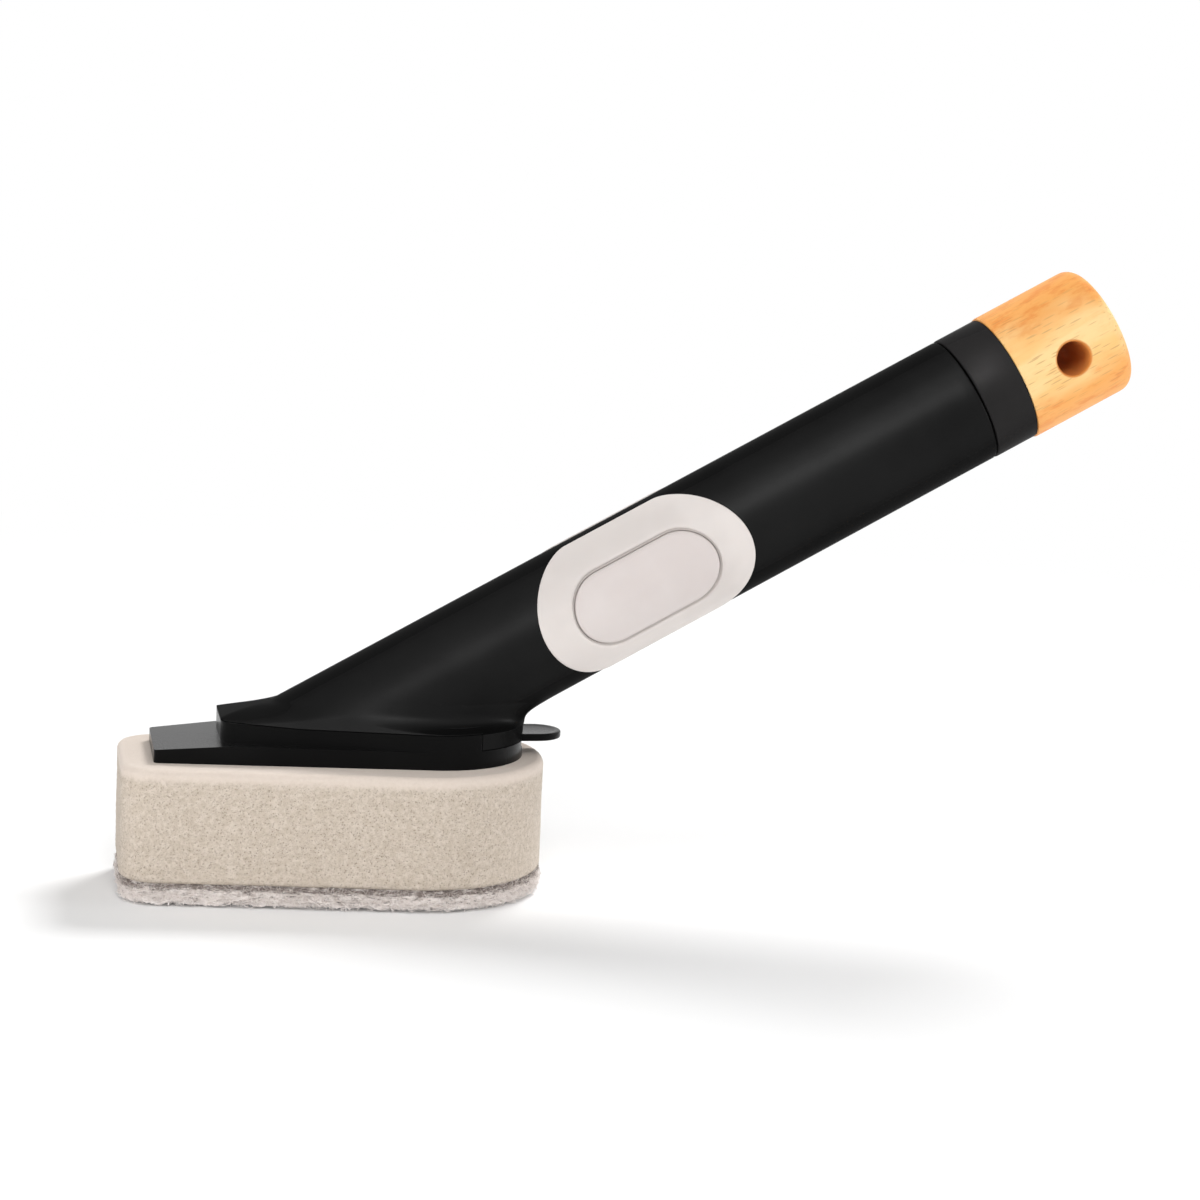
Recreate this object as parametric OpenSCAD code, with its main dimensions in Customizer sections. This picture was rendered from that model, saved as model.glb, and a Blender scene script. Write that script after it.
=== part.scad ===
// Dish wand: a hollow soap handle with squeeze pads and a screw cap with a wooden knob,
// and a head with a foam sponge and a scour pad that slides off the handle's foot.
// Millimetres, +Z up. The origin is the centre of the scrubbing face, on the surface
// that the wand stands on. The head points to -X and the handle rises towards +X.

/* [Handle tube] */
// Outer diameter of the handle tube
tube_d = 30; // [28:0.5:32]
// Wall of the handle tube
tube_wall = 1.4; // [1.3:0.1:1.8]
// Rise of the handle above the scrubbing face, in degrees
tube_tilt = 29.3; // [28:0.1:31]
// Place where the handle's axis crosses the foot's parting plane
axis_x = 9.2; // [8:0.1:11]
// Length along the axis from there to the cap's seam
seam_s = 154.2; // [130:0.2:170]

/* [Squeeze pads] */
// Length along the axis from the parting plane to the middle of the pads
pad_s = 67.2; // [66:0.2:72]
// Length of a pad
pad_len = 52.3; // [46:0.1:52.4]
// Half of the angle that a pad wraps round the tube
pad_wrap = 80.6; // [70:0.1:81]
// Thickness of the pad's rim
pad_thick = 0.9; // [0.8:0.05:1]
// Length of the button in the middle of a pad
button_len = 35.2; // [30:0.2:36]
// Width of the button
button_w = 17.3; // [14:0.1:18]
// Thickness of the button
button_thick = 1.5; // [1.3:0.1:1.8]
// Width of the groove between button and rim
groove_w = 1.3; // [0.9:0.1:1.6]
// Depth of the groove
groove_depth = 0.5; // [0.4:0.05:0.6]

/* [Cap and knob] */
// Length of the cap's collar, with the seam
collar_len = 10.8; // [9:0.1:14]
// Gap that shows as the dark seam
seam_gap = 0.35; // [0.2:0.05:0.6]
// Amount by which the collar is wider than the tube
collar_step = 0.2; // [0:0.1:0.6]
// Length of the spigot inside the tube
spigot_len = 10.5; // [9:0.1:14]
// Wall of the spigot, the collar and the plug
spigot_wall = 1.2; // [1.1:0.05:1.4]
// Amount by which the knob is wider than the tube
knob_step = 0.8; // [0.2:0.1:1.2]
// Length of the knob past the collar
knob_len = 26.5; // [22:0.5:32]
// Radius of the knob's outer edge
knob_round = 3.2; // [2:0.1:4]
// Diameter of the cap's plug inside the knob
plug_d = 25.8; // [18:0.2:26]
// Length of the plug
plug_len = 5.5; // [4:0.1:6]
// Diameter of the hanging hole
hole_d = 7.8; // [6:0.1:9]
// Distance from the collar to the middle of the hanging hole
hole_s = 12.7; // [11.6:0.1:14]

/* [Foot] */
// Height of the parting plane between foot and head
split_z = 38.1; // [38:0.1:38.6]
// Front end of the foot
nose_x = -26; // [-28:0.1:-25]
// Half of the foot's width at its nose
nose_half = 10; // [9.4:0.1:11]
// Radius of the nose's corners
nose_round = 3.6; // [3.2:0.1:4]
// Centre of the foot's round heel
heel_x = 23.2; // [22:0.1:24]
// Radius of the foot's round heel
heel_r = 19.8; // [19.4:0.1:20.6]
// Height over which the foot's flanks flare out from the tube
flare_h = 5.9; // [5:0.1:6.4]
// Height over which the nose ramps up to the tube
ramp_h = 2.6; // [2.2:0.1:3]
// Height of the nose's front edge above the parting plane
nose_lift = 1.4; // [1.2:0.1:1.6]
// Size of the fillet between the heel and the tube above it
heel_fillet = 2; // [1:0.1:2.4]

/* [Head carriage] */
// Thickness of the carriage's flange
flange_t = 4; // [3.8:0.1:4.2]
// Front end of the scraper ledge
ledge_x = -40.7; // [-42:0.1:-38]
// Half of the ledge's width
ledge_half = 12; // [11:0.1:13]
// Thickness of the ledge at its tip
ledge_tip_t = 2.9; // [2:0.1:3.4]
// Wall of the socket that holds the foot
socket_wall = 1.8; // [1.5:0.1:2]
// Rear end of the socket's walls
socket_end_x = 31; // [30:0.1:32]
// Amount by which the lips reach in from the socket's walls
lip_reach = 0.8; // [0.6:0.1:1]
// Height of the lips
lip_h = 1.2; // [1:0.1:1.4]
// Rise of the socket's walls at the nose
nose_rise = 0.9; // [0.6:0.1:1]

/* [Release tab] */
// Rear end of the tab
tab_x = 52; // [50:0.1:53]
// Width of the tab
tab_w = 12; // [11:0.1:12]
// Thickness of the tab
tab_t = 1.65; // [1.5:0.05:1.8]
// Hinge line of the tab's spring finger
tab_root_x = 24; // [23:0.1:26]
// Height of the tab's top above the flange
tab_rise = 1.25; // [1.1:0.05:1.3]

/* [Soap outlet] */
// Place of the outlet along the head
outlet_x = 4; // [0:0.2:8]
// Diameter of the outlet's bore
outlet_d = 5; // [4:0.1:5.4]
// Diameter of the valve's pocket
valve_d = 9; // [8.6:0.1:9.2]
// Outer diameter of the outlet seal
seal_d = 12.4; // [12:0.1:12.6]
// Diameter of the bore that feeds the sponge
feed_d = 4; // [3:0.1:5]

/* [Sponge] */
// Thickness of the scour pad
scour_t = 5.1; // [3:0.1:8]
// Thickness of the foam
foam_t = 25.3; // [25.2:0.05:25.4]
// Length of the sponge
sponge_len = 96; // [94:0.5:104]
// Half of the sponge's width at its front
sponge_front_half = 19.5; // [17:0.5:22]
// Radius of the sponge's front corners
sponge_round = 8.7; // [6:0.1:12]
// Radius of the sponge's round rear
sponge_rear_r = 28; // [26:0.5:30]

/* [Clearances] */
// Running gap between pieces that slide past each other
slide_gap = 0.3; // [0.3:0.05:0.35]
// Gap between pieces that are glued or pressed together
seat_gap = 0.1; // [0.05:0.01:0.12]
// Gap along the parting line of foot and head
part_gap = 0.15; // [0.1:0.05:0.25]

/* [Hidden] */
$fn = 96;
SHELL_BLACK = "#1d1d1f";
SILICONE = "#dcd6d3";
BEECH = "#e5a864";
FOAM = "#dccfbd";
SCOUR = "#cbc6c4";
tube_r = tube_d / 2;
bore_r = tube_r - tube_wall;
axis_run = 1 / tan(tube_tilt);
sponge_top = scour_t + foam_t;
flange_top = sponge_top + flange_t;
sole_low = flange_top + slide_gap;
sole_top = split_z + 1.1;
tab_top = flange_top + tab_rise;
channel_top = tab_top + slide_gap;
channel_half = tab_w / 2 + 0.5;
plate_x = -17;
tongue_top = split_z - lip_h - slide_gap;
skirt_low = flange_top + part_gap;
collar_s = seam_s + seam_gap;
wood_s = seam_s + collar_len;
knob_end_s = wood_s + knob_len;
spigot_r = bore_r - slide_gap - 0.05;
button_gap = slide_gap;
window_gap = groove_w / 2 + 0.1;
facet = 5;
big = 400;

// Outline of an iron: two small circles at the front and one large circle at the rear.
// The angle t at which the flank leaves the rear circle comes from the common tangent.
function flank_angle(c, half, r1, rear_x, r2) =
    let (dx = rear_x - c, dy = half - r1)
    atan2(-dy, dx) + acos((r1 - r2) / norm([dx, dy]));

// Point of that outline whose normal has the angle a
function iron_point(a, front, half, r1, rear_x, r2) =
    let (c = front + r1, t = flank_angle(c, half, r1, rear_x, r2), side = sign(180 - a))
    180 - abs(180 - a) < t ? [rear_x + r2 * cos(a), r2 * sin(a)]
                           : [c + r1 * cos(a), side * (half - r1) + r1 * sin(a)];

function iron_outline(front, half, r1, rear_x, r2) =
    let (c = front + r1, t = flank_angle(c, half, r1, rear_x, r2))
    concat(
        [for (a = [-t : 2 * t / 44 : t + 0.01]) [rear_x + r2 * cos(a), r2 * sin(a)]],
        [for (k = [0 : 8]) let (a = t + k * (180 - t) / 8)
            [c + r1 * cos(a), half - r1 + r1 * sin(a)]],
        [for (k = [0 : 8]) let (a = 180 + k * (180 - t) / 8)
            [c + r1 * cos(a), r1 - half + r1 * sin(a)]]);

// Slab with the outline of the foot, drawn in by d on every side
module foot_slab(d, low, high) {
    translate([0, 0, low])
        linear_extrude(height = high - low)
            polygon(iron_outline(nose_x + d, nose_half - d, max(nose_round - d, 0.5),
                                 heel_x, heel_r - d));
}

// Box between two corners
module span(a, b) {
    translate(a)
        cube(b - a);
}

// Puts a piece on the handle's axis: its Z runs up the handle, its X to the underside
module on_axis(s = 0) {
    translate([axis_x, 0, split_z])
        rotate([0, 90 - tube_tilt, 0])
            translate([0, 0, s])
                children();
}

// Places in the space of the whole part of a point on the handle's axis frame
function from_axis(x, y, s) =
    [axis_x + s * cos(tube_tilt) + x * sin(tube_tilt), y,
     split_z + s * sin(tube_tilt) - x * cos(tube_tilt)];

// Foot form: level sections that turn from the foot's outline into the tube's ellipse.
// Its tube stays a hair inside the exact tube that it runs into.
ring_n = 360 / facet;
form_r = tube_r - 0.03;
flare_top = split_z + flare_h;
levels = concat([skirt_low - 1], [for (k = [0 : 15]) split_z + 0.05 + (flare_h - 0.05) * k / 15]);
ring_s = (flare_top + 0.8 - split_z + tube_r * cos(tube_tilt)) / sin(tube_tilt);

function ellipse_point(p, z) =
    [axis_x + (z - split_z) * axis_run + form_r / sin(tube_tilt) * cos(p), form_r * sin(p)];

function normal_angle(p) =
    let (a = atan2(sin(p) / sin(tube_tilt), cos(p)))
    a < 0 ? a + 360 : a;

// Share of the foot's outline in a section, from 1 at the brim to 0 on the tube
function brim_share(a, z) =
    let (front = pow((1 - cos(a)) / 2, 3),
         low = split_z + front * nose_lift,
         high = split_z + (1 - front) * flare_h + front * (nose_lift + ramp_h),
         t = max(0, min(1, (high - z) / (high - low))))
    pow(t, 2.5 - 1.5 * front);

// Extra push along the normal at the heel, where foot and tube meet in a round fillet
function heel_push(a, z, reach, w) =
    let (heel = pow((1 + cos(a)) / 2, 2), fade = max(0, min(1, (flare_top - z) / flare_h)))
    heel * ((reach + norm([reach, heel_fillet])) / 2 * (1 - pow(1 - fade, 4)) - reach * w);

function foot_ring(z) =
    [for (k = [0 : ring_n - 1])
        let (p = k * facet, a = normal_angle(p), n = [cos(a), sin(a)], w = brim_share(a, z),
             b = iron_point(a, nose_x, nose_half, nose_round, heel_x, heel_r),
             e = ellipse_point(p, z),
             push = z > split_z ? heel_push(a, z, (b - e) * n, w) : 0,
             q = e + (b - e) * w + push * n)
        [q[0], q[1], z]];

function tube_ring(s) =
    [for (k = [0 : ring_n - 1]) from_axis(form_r * cos(k * facet), form_r * sin(k * facet), s)];

// Closed skin through rings of n points each
module skin(rings, n) {
    m = len(rings);
    points = [for (r = rings) each r];
    sides = [for (i = [0 : m - 2]) for (k = [0 : n - 1])
        let (a = i * n + k, b = i * n + (k + 1) % n)
        each [[a, a + n, b], [b, a + n, b + n]]];
    low = [for (k = [n - 1 : -1 : 0]) n - 1 - k];
    high = [for (k = [n - 1 : -1 : 0]) (m - 1) * n + k];
    polyhedron(points = points, faces = concat(sides, [low], [high]), convexity = 6);
}

module foot_form() {
    skin(concat([for (z = levels) foot_ring(z)], [tube_ring(ring_s)]), ring_n);
}

// Space of the socket below the foot's parting line, drawn up by gap
module socket_space(gap) {
    rotate([90, 0, 0])
        linear_extrude(height = big, center = true)
            polygon([[-big, 0], [socket_end_x + gap, 0], [socket_end_x + gap, split_z + gap],
                     [-8, split_z + gap], [-17, split_z + nose_rise * 0.45 + gap],
                     [nose_x, split_z + nose_rise + gap], [-big, split_z + nose_rise + gap]]);
}

// Stadium, its length along Y
module stadium(len, wid) {
    square([wid, len - wid], center = true);
    for (side = [-1, 1])
        translate([0, side * (len - wid) / 2])
            circle(d = wid);
}

// Stadium pushed through the wall from the pad's side, in the handle's axis frame
module pad_prism(len, wid) {
    translate([0, 0, pad_s])
        rotate([90, 0, 0])
            linear_extrude(height = tube_d)
                stadium(len, wid);
}

// Wedge from the axis out through a pad's outline, with walls that point at the axis
pad_half_w = tube_r * sin(pad_wrap);
wedge_fan = 6;
wedge_turn = 86;

// Section of the wedge: f turns round the pad's end, which lies below or above its middle
function wedge_section(end, f) =
    let (s = pad_s + end * (pad_len / 2 - pad_half_w + pad_half_w * sin(f)),
         a = asin(pad_half_w * cos(f) / tube_r))
    concat([[0, 0, s]],
           [for (j = [0 : wedge_fan]) let (t = -a + 2 * a * j / wedge_fan)
               [1.5 * tube_r * sin(t), -1.5 * tube_r * cos(t), s]]);

module pad_wedge() {
    skin(concat([for (k = [11 : -1 : 0]) wedge_section(-1, wedge_turn * k / 11)],
                [for (k = [0 : 11]) wedge_section(1, wedge_turn * k / 11)]), wedge_fan + 2);
}

// Ring between two radii round the axis, along a pad
module pad_shell(r_in, r_out) {
    translate([0, 0, pad_s - pad_len])
        difference() {
            cylinder(r = r_out, h = 2 * pad_len);
            translate([0, 0, -1])
                cylinder(r = r_in, h = 2 * pad_len + 2);
        }
}

module each_side() {
    children();
    mirror([0, 1, 0])
        children();
}

// Handle: tube and foot in one moulding, open below for the sole and above for the cap
module handle_shell() {
    color(SHELL_BLACK)
        difference() {
            union() {
                foot_form();
                on_axis(ring_s - 0.5)
                    cylinder(r = tube_r, h = seam_s - ring_s + 0.5);
            }
            socket_space(part_gap);
            span([-big, -big, 0], [big, big, skirt_low]);
            foot_slab(socket_wall, 0, split_z);
            sole_pocket();
            intersection() {
                on_axis(-60)
                    cylinder(r = bore_r, h = seam_s + 61);
                span([-big, -big, sole_top - 0.5], [big, big, big]);
            }
            on_axis()
                each_side() {
                    intersection() {
                        pad_wedge();
                        pad_shell(tube_r - pad_thick, tube_r + 3);
                    }
                    pad_prism(button_len + 2 * window_gap, button_w + 2 * window_gap);
                }
            span([heel_x, -channel_half, 0], [big, channel_half, channel_top]);
        }
}

// Pocket in the foot that the sole is glued into
module sole_pocket() {
    intersection() {
        foot_slab(socket_wall + 1.2, split_z - 1, sole_top);
        span([plate_x, -big, 0], [big, big, big]);
    }
}

// Sole: closes the foot, carries the soap outlet and slides in the head's socket
module foot_sole() {
    tongue_half = sqrt(pow(heel_r - socket_wall, 2) - pow(socket_end_x - heel_x, 2)) - slide_gap;
    neck_half = tongue_half - lip_reach;
    neck_d = socket_wall + 1.2 + seat_gap;
    color("#232325")
        difference() {
            union() {
                intersection() {
                    foot_slab(socket_wall + slide_gap, sole_low, tongue_top);
                    span([-big, -tongue_half, 0], [big, tongue_half, big]);
                }
                intersection() {
                    foot_slab(neck_d, sole_low, split_z - 0.1);
                    span([-big, -neck_half, 0], [big, neck_half, big]);
                }
                intersection() {
                    foot_slab(neck_d, sole_low, sole_top);
                    span([plate_x + seat_gap, -neck_half, 0], [big, neck_half, big]);
                }
                intersection() {
                    foot_slab(neck_d, split_z + part_gap, sole_top);
                    span([plate_x + seat_gap, -big, 0], [big, big, big]);
                }
                translate([axis_x + (sole_top - split_z + plug_rise / 2) * axis_run, 0, sole_top - 0.5])
                    linear_extrude(height = plug_rise + 0.5)
                        rotate(90)
                            stadium(2 * (bore_r / sin(tube_tilt) - plug_rise * axis_run / 2) - 6,
                                    2 * bore_r - 4);
            }
            span([-big, -channel_half, 0], [big, channel_half, channel_top]);
            translate([outlet_x, 0, 0]) {
                cylinder(d = outlet_d, h = big);
                cylinder(d = valve_d, h = sole_top - 0.8);
                difference() {
                    cylinder(d = seal_d, h = channel_top + 0.9);
                    cylinder(d = valve_d + 1, h = big);
                }
            }
        }
}

// Rise of the sole's plug into the soap bore
plug_rise = 2.5;

// Valve: a silicone disc with a duckbill that opens under pressure
module dosing_valve() {
    top = sole_top - 0.8 - 0.05;
    color(SILICONE)
        translate([outlet_x, 0, 0])
            difference() {
                union() {
                    translate([0, 0, top - 0.8])
                        cylinder(d = valve_d - 0.4, h = 0.8);
                    translate([0, 0, channel_top + 0.3])
                        cylinder(d1 = 2.4, d2 = outlet_d - 0.4, h = top - channel_top - 0.9);
                }
                translate([0, 0, channel_top + 1])
                    cylinder(d1 = 1.2, d2 = outlet_d - 1.6, h = top - channel_top);
            }
}

// Ring pressed into the sole under the valve
module valve_retainer() {
    low = channel_top + 0.05;
    high = sole_top - 0.8 - 0.05 - 0.8 - 0.05;
    color("#2b2b2d")
        translate([outlet_x, 0, low])
            difference() {
                cylinder(d = valve_d - 2 * 0.02, h = high - low);
                translate([0, 0, -1])
                    cylinder(d = outlet_d + 0.4, h = big);
            }
}

// Washer that seals the outlet against the carriage's flow collar
module outlet_seal() {
    color(SILICONE)
        translate([outlet_x, 0, channel_top])
            difference() {
                cylinder(d = seal_d - 0.1, h = 0.85);
                translate([0, 0, -1])
                    cylinder(d = valve_d + 1.1, h = 3);
            }
}

// Rim of a squeeze pad: wraps the tube, with the groove and its thin web round the button
module pad_rim() {
    floor_r = tube_r - pad_thick;
    color(SILICONE)
        on_axis()
            difference() {
                intersection() {
                    pad_wedge();
                    pad_shell(floor_r + 0.01, tube_r);
                }
                intersection() {
                    pad_prism(button_len + 2 * groove_w, button_w + 2 * groove_w);
                    pad_shell(tube_r - groove_depth, tube_r + 3);
                }
                pad_prism(button_len + 2 * button_gap, button_w + 2 * button_gap);
            }
}

// Button of a squeeze pad, flush with the rim at rest
module pad_button() {
    color("#d8d0cd")
        on_axis()
            intersection() {
                pad_prism(button_len, button_w);
                pad_shell(tube_r - button_thick, tube_r);
            }
}

module left_pad_rim() {
    pad_rim();
}

module left_pad_button() {
    pad_button();
}

module right_pad_rim() {
    mirror([0, 1, 0])
        pad_rim();
}

module right_pad_button() {
    mirror([0, 1, 0])
        pad_button();
}

// O-ring on the spigot
seal_r = 0.4;
seal_s = seam_s - 3;
seal_groove_r = bore_r - 0.08 - 2 * seal_r;

module cap_seal() {
    color("#3a3a3c")
        on_axis(seal_s)
            rotate_extrude()
                translate([bore_r - 0.08 - seal_r, 0])
                    circle(r = seal_r, $fn = 32);
}

// Cap: a collar with a hollow spigot below and a hollow plug for the knob above
module cap_collar() {
    outer = tube_r + collar_step / 2;
    inner = spigot_r - spigot_wall;
    plug_r = plug_d / 2;
    color(SHELL_BLACK)
        on_axis()
            difference() {
                rotate_extrude()
                    polygon([[0, plug_s - web_t], [plug_r - spigot_wall, plug_s - web_t],
                             [plug_r - spigot_wall, wood_s - web_t],
                             [outer - spigot_wall, wood_s - web_t],
                             [outer - spigot_wall, collar_s + 2], [inner, collar_s + 2],
                             [inner, seam_s - spigot_len],
                             [spigot_r - 0.6, seam_s - spigot_len],
                             [spigot_r, seam_s - spigot_len + 0.6],
                             [spigot_r, collar_s], [outer - 0.3, collar_s],
                             [outer, collar_s + 0.3], [outer, wood_s],
                             [plug_r, wood_s], [plug_r, plug_s], [0, plug_s]]);
                translate([0, 0, seal_s])
                    rotate_extrude()
                        translate([seal_groove_r - 0.02, -seal_r - 0.1])
                            square([4, 2 * seal_r + 0.2]);
                translate([0, 0, plug_s - 2 * web_t])
                    cylinder(r = screw_r + 0.15, h = 3 * web_t);
            }
}

// Knob: turned beech with a socket for the plug, a rounded end and the hanging hole
module wooden_knob() {
    r = tube_r + knob_step / 2;
    color(BEECH)
        on_axis()
            difference() {
                rotate_extrude()
                    polygon(concat(
                        [[0, plug_s], [plug_d / 2 + seat_gap, plug_s],
                         [plug_d / 2 + seat_gap, wood_s], [r - 0.4, wood_s], [r, wood_s + 0.5]],
                        [for (k = [0 : 8]) let (a = k * 90 / 8)
                            [r - knob_round + knob_round * cos(a),
                             knob_end_s - knob_round + knob_round * sin(a)]],
                        [[0, knob_end_s]]));
                translate([0, 0, wood_s + hole_s])
                    rotate([90, 0, 0])
                        cylinder(d = hole_d, h = 4 * r, center = true);
                translate([0, 0, plug_s - 1])
                    cylinder(r = screw_r, h = screw_grip + 1);
            }
}

// Screw from inside the cap through its plug into the knob
web_t = 1.2;
plug_s = wood_s + plug_len;
screw_r = 1.2;
screw_grip = hole_s - hole_d / 2 - plug_len - 0.6;

module knob_screw() {
    color("silver")
        on_axis(plug_s - web_t)
            difference() {
                union() {
                    translate([0, 0, -1.4])
                        cylinder(r1 = 2.1, r2 = 2.4, h = 1.38);
                    translate([0, 0, -1])
                        cylinder(r = screw_r - 0.02, h = web_t + screw_grip + 0.9);
                }
                translate([0, 0, -2])
                    cylinder(r = 0.9, h = 1.2, $fn = 6);
            }
}

// Carriage: flange glued to the foam, socket walls with lips, scraper ledge and flow collar
module head_carriage() {
    slot_half = tab_w / 2 + 0.4;
    root_z = tab_top - tab_t / 2;
    color(SHELL_BLACK)
        difference() {
            union() {
                carriage_flange();
                carriage_walls();
                translate([outlet_x, 0, flange_top - 0.5])
                    cylinder(d = seal_d - 0.2, h = tab_rise + 0.5);
                span([tab_root_x - 3.4, -tab_w / 2, flange_top - 0.5],
                     [tab_root_x, tab_w / 2, tab_top]);
            }
            translate([outlet_x, 0, flange_top])
                cylinder(d = seal_d - 2.4, h = big);
            translate([outlet_x, 0, 0])
                cylinder(d = feed_d, h = big);
            span([tab_root_x, -slot_half, flange_top - 2.5], [big, slot_half, big]);
            translate([tab_root_x, 0, root_z])
                rotate([90, 0, 0])
                    cylinder(r = tab_t / 2 + 0.08, h = 2 * slot_half, center = true);
        }
}

module carriage_flange() {
    tip_top = sponge_top + ledge_tip_t;
    difference() {
        translate([0, 0, sponge_top])
            linear_extrude(height = flange_t)
                polygon(iron_outline(ledge_x, ledge_half, 1, heel_x, heel_r));
        rotate([90, 0, 0])
            linear_extrude(height = big, center = true)
                polygon([[ledge_x - 1, tip_top], [ledge_x, tip_top],
                         [nose_x, flange_top], [nose_x, flange_top + 1],
                         [ledge_x - 1, flange_top + 1]]);
    }
}

module carriage_walls() {
    wall_top = split_z + nose_rise;
    intersection() {
        socket_space(0);
        difference() {
            foot_slab(0, flange_top - 0.5, wall_top);
            foot_slab(socket_wall, flange_top - 1, split_z - lip_h);
            foot_slab(socket_wall + lip_reach, flange_top, split_z + 0.01);
            foot_slab(socket_wall, split_z, wall_top + 1);
        }
    }
}

// Release tab: spring finger of the carriage that ends in the thumb tab
module release_tab() {
    root_z = tab_top - tab_t / 2;
    color("#202022") {
        translate([0, 0, tab_top - tab_t])
            linear_extrude(height = tab_t)
                union() {
                    translate([tab_root_x, -tab_w / 2])
                        square([tab_x - tab_w / 2 - tab_root_x, tab_w]);
                    translate([tab_x - tab_w / 2, 0])
                        circle(d = tab_w);
                }
        translate([tab_root_x, 0, root_z])
            rotate([90, 0, 0])
                cylinder(d = tab_t, h = tab_w, center = true);
    }
}

module sponge_slab(low, high) {
    translate([0, 0, low])
        linear_extrude(height = high - low)
            polygon(iron_outline(-sponge_len / 2, sponge_front_half, sponge_round,
                                 sponge_len / 2 - sponge_rear_r, sponge_rear_r));
}

module foam_sponge() {
    color(FOAM)
        sponge_slab(scour_t, sponge_top);
}

module scour_pad() {
    color(SCOUR)
        sponge_slab(0, scour_t);
}

handle_shell();
foot_sole();
dosing_valve();
valve_retainer();
outlet_seal();
left_pad_rim();
left_pad_button();
right_pad_rim();
right_pad_button();
cap_seal();
cap_collar();
wooden_knob();
knob_screw();
head_carriage();
release_tab();
foam_sponge();
scour_pad();
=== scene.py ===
"""Dish wand: the finished look of every piece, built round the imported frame."""
from __future__ import annotations

import logging
import math
from dataclasses import dataclass
from enum import Enum
from typing import Any, Callable, Iterable, Sequence, Union

import bpy
import bmesh
from mathutils import Matrix, Vector, noise

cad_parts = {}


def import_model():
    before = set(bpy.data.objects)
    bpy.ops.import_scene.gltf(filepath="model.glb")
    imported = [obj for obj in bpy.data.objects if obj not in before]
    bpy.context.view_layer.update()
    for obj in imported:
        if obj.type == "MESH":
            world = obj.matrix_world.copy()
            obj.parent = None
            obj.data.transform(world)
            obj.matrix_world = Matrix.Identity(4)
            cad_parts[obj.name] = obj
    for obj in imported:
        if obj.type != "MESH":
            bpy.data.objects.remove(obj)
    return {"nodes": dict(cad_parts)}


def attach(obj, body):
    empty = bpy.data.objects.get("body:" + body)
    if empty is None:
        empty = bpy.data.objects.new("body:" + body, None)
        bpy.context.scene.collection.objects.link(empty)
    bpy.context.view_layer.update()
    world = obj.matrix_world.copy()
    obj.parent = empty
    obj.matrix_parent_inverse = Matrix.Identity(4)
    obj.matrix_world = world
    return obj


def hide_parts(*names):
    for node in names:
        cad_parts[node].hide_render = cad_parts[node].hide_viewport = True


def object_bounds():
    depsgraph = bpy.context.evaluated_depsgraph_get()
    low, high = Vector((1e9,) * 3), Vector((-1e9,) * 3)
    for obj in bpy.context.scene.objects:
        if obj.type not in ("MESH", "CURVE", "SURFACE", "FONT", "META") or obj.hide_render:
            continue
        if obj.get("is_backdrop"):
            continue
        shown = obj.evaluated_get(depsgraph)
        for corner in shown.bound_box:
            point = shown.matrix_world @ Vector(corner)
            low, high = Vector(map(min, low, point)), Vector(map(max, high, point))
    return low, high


LOG = logging.getLogger("dish_wand")
MM = 0.001
# Reach of the cutting tools, past every side of the part
FAR = 90.0
Point = tuple[float, float, float]
Colour = tuple[float, float, float, float]
WHITE: Colour = (1.0, 1.0, 1.0, 1.0)


class Side(Enum):
    """The two sides of the handle, as the sign of Y."""

    LEFT = -1
    RIGHT = 1


class Operation(Enum):
    """How one solid acts on another."""

    CUT = "DIFFERENCE"
    ADD = "UNION"
    KEEP = "INTERSECT"


class Ends(Enum):
    """How a skin through rings ends."""

    CAPPED = "a face on the first and the last ring"
    JOINED = "the last ring joins the first"
    OPEN = "no face at either end"


def srgb(red: int, green: int, blue: int) -> Colour:
    """Turns a colour seen on the screen into the linear colour that shaders take.

    Args:
        red: Red from 0 to 255.
        green: Green from 0 to 255.
        blue: Blue from 0 to 255.

    Returns:
        The linear colour with full alpha.
    """
    linear = [v / 12.92 if v <= 0.04045 else ((v + 0.055) / 1.055) ** 2.4
              for v in (red / 255, green / 255, blue / 255)]
    return (linear[0], linear[1], linear[2], 1.0)


# Sizes


def circle(r: float, count: int) -> list[tuple[float, float]]:
    """Lists the points of a circle round the origin.

    Args:
        r: Radius of the circle.
        count: Number of points.

    Returns:
        The two coordinates of each point.
    """
    turns = [2 * math.pi * k / count for k in range(count)]
    return [(r * math.cos(t), r * math.sin(t)) for t in turns]


def quarter(steps: int, first: int = 1) -> list[tuple[float, float]]:
    """Walks a quarter of a round edge of radius 1.

    Args:
        steps: Number of steps in the quarter.
        first: Step at which the walk starts.

    Returns:
        For each step how far it has turned away from the start, and how far it has gone.
    """
    turns = [math.pi / 2 * k / steps for k in range(first, steps + 1)]
    return [(1 - math.cos(t), math.sin(t)) for t in turns]


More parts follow.
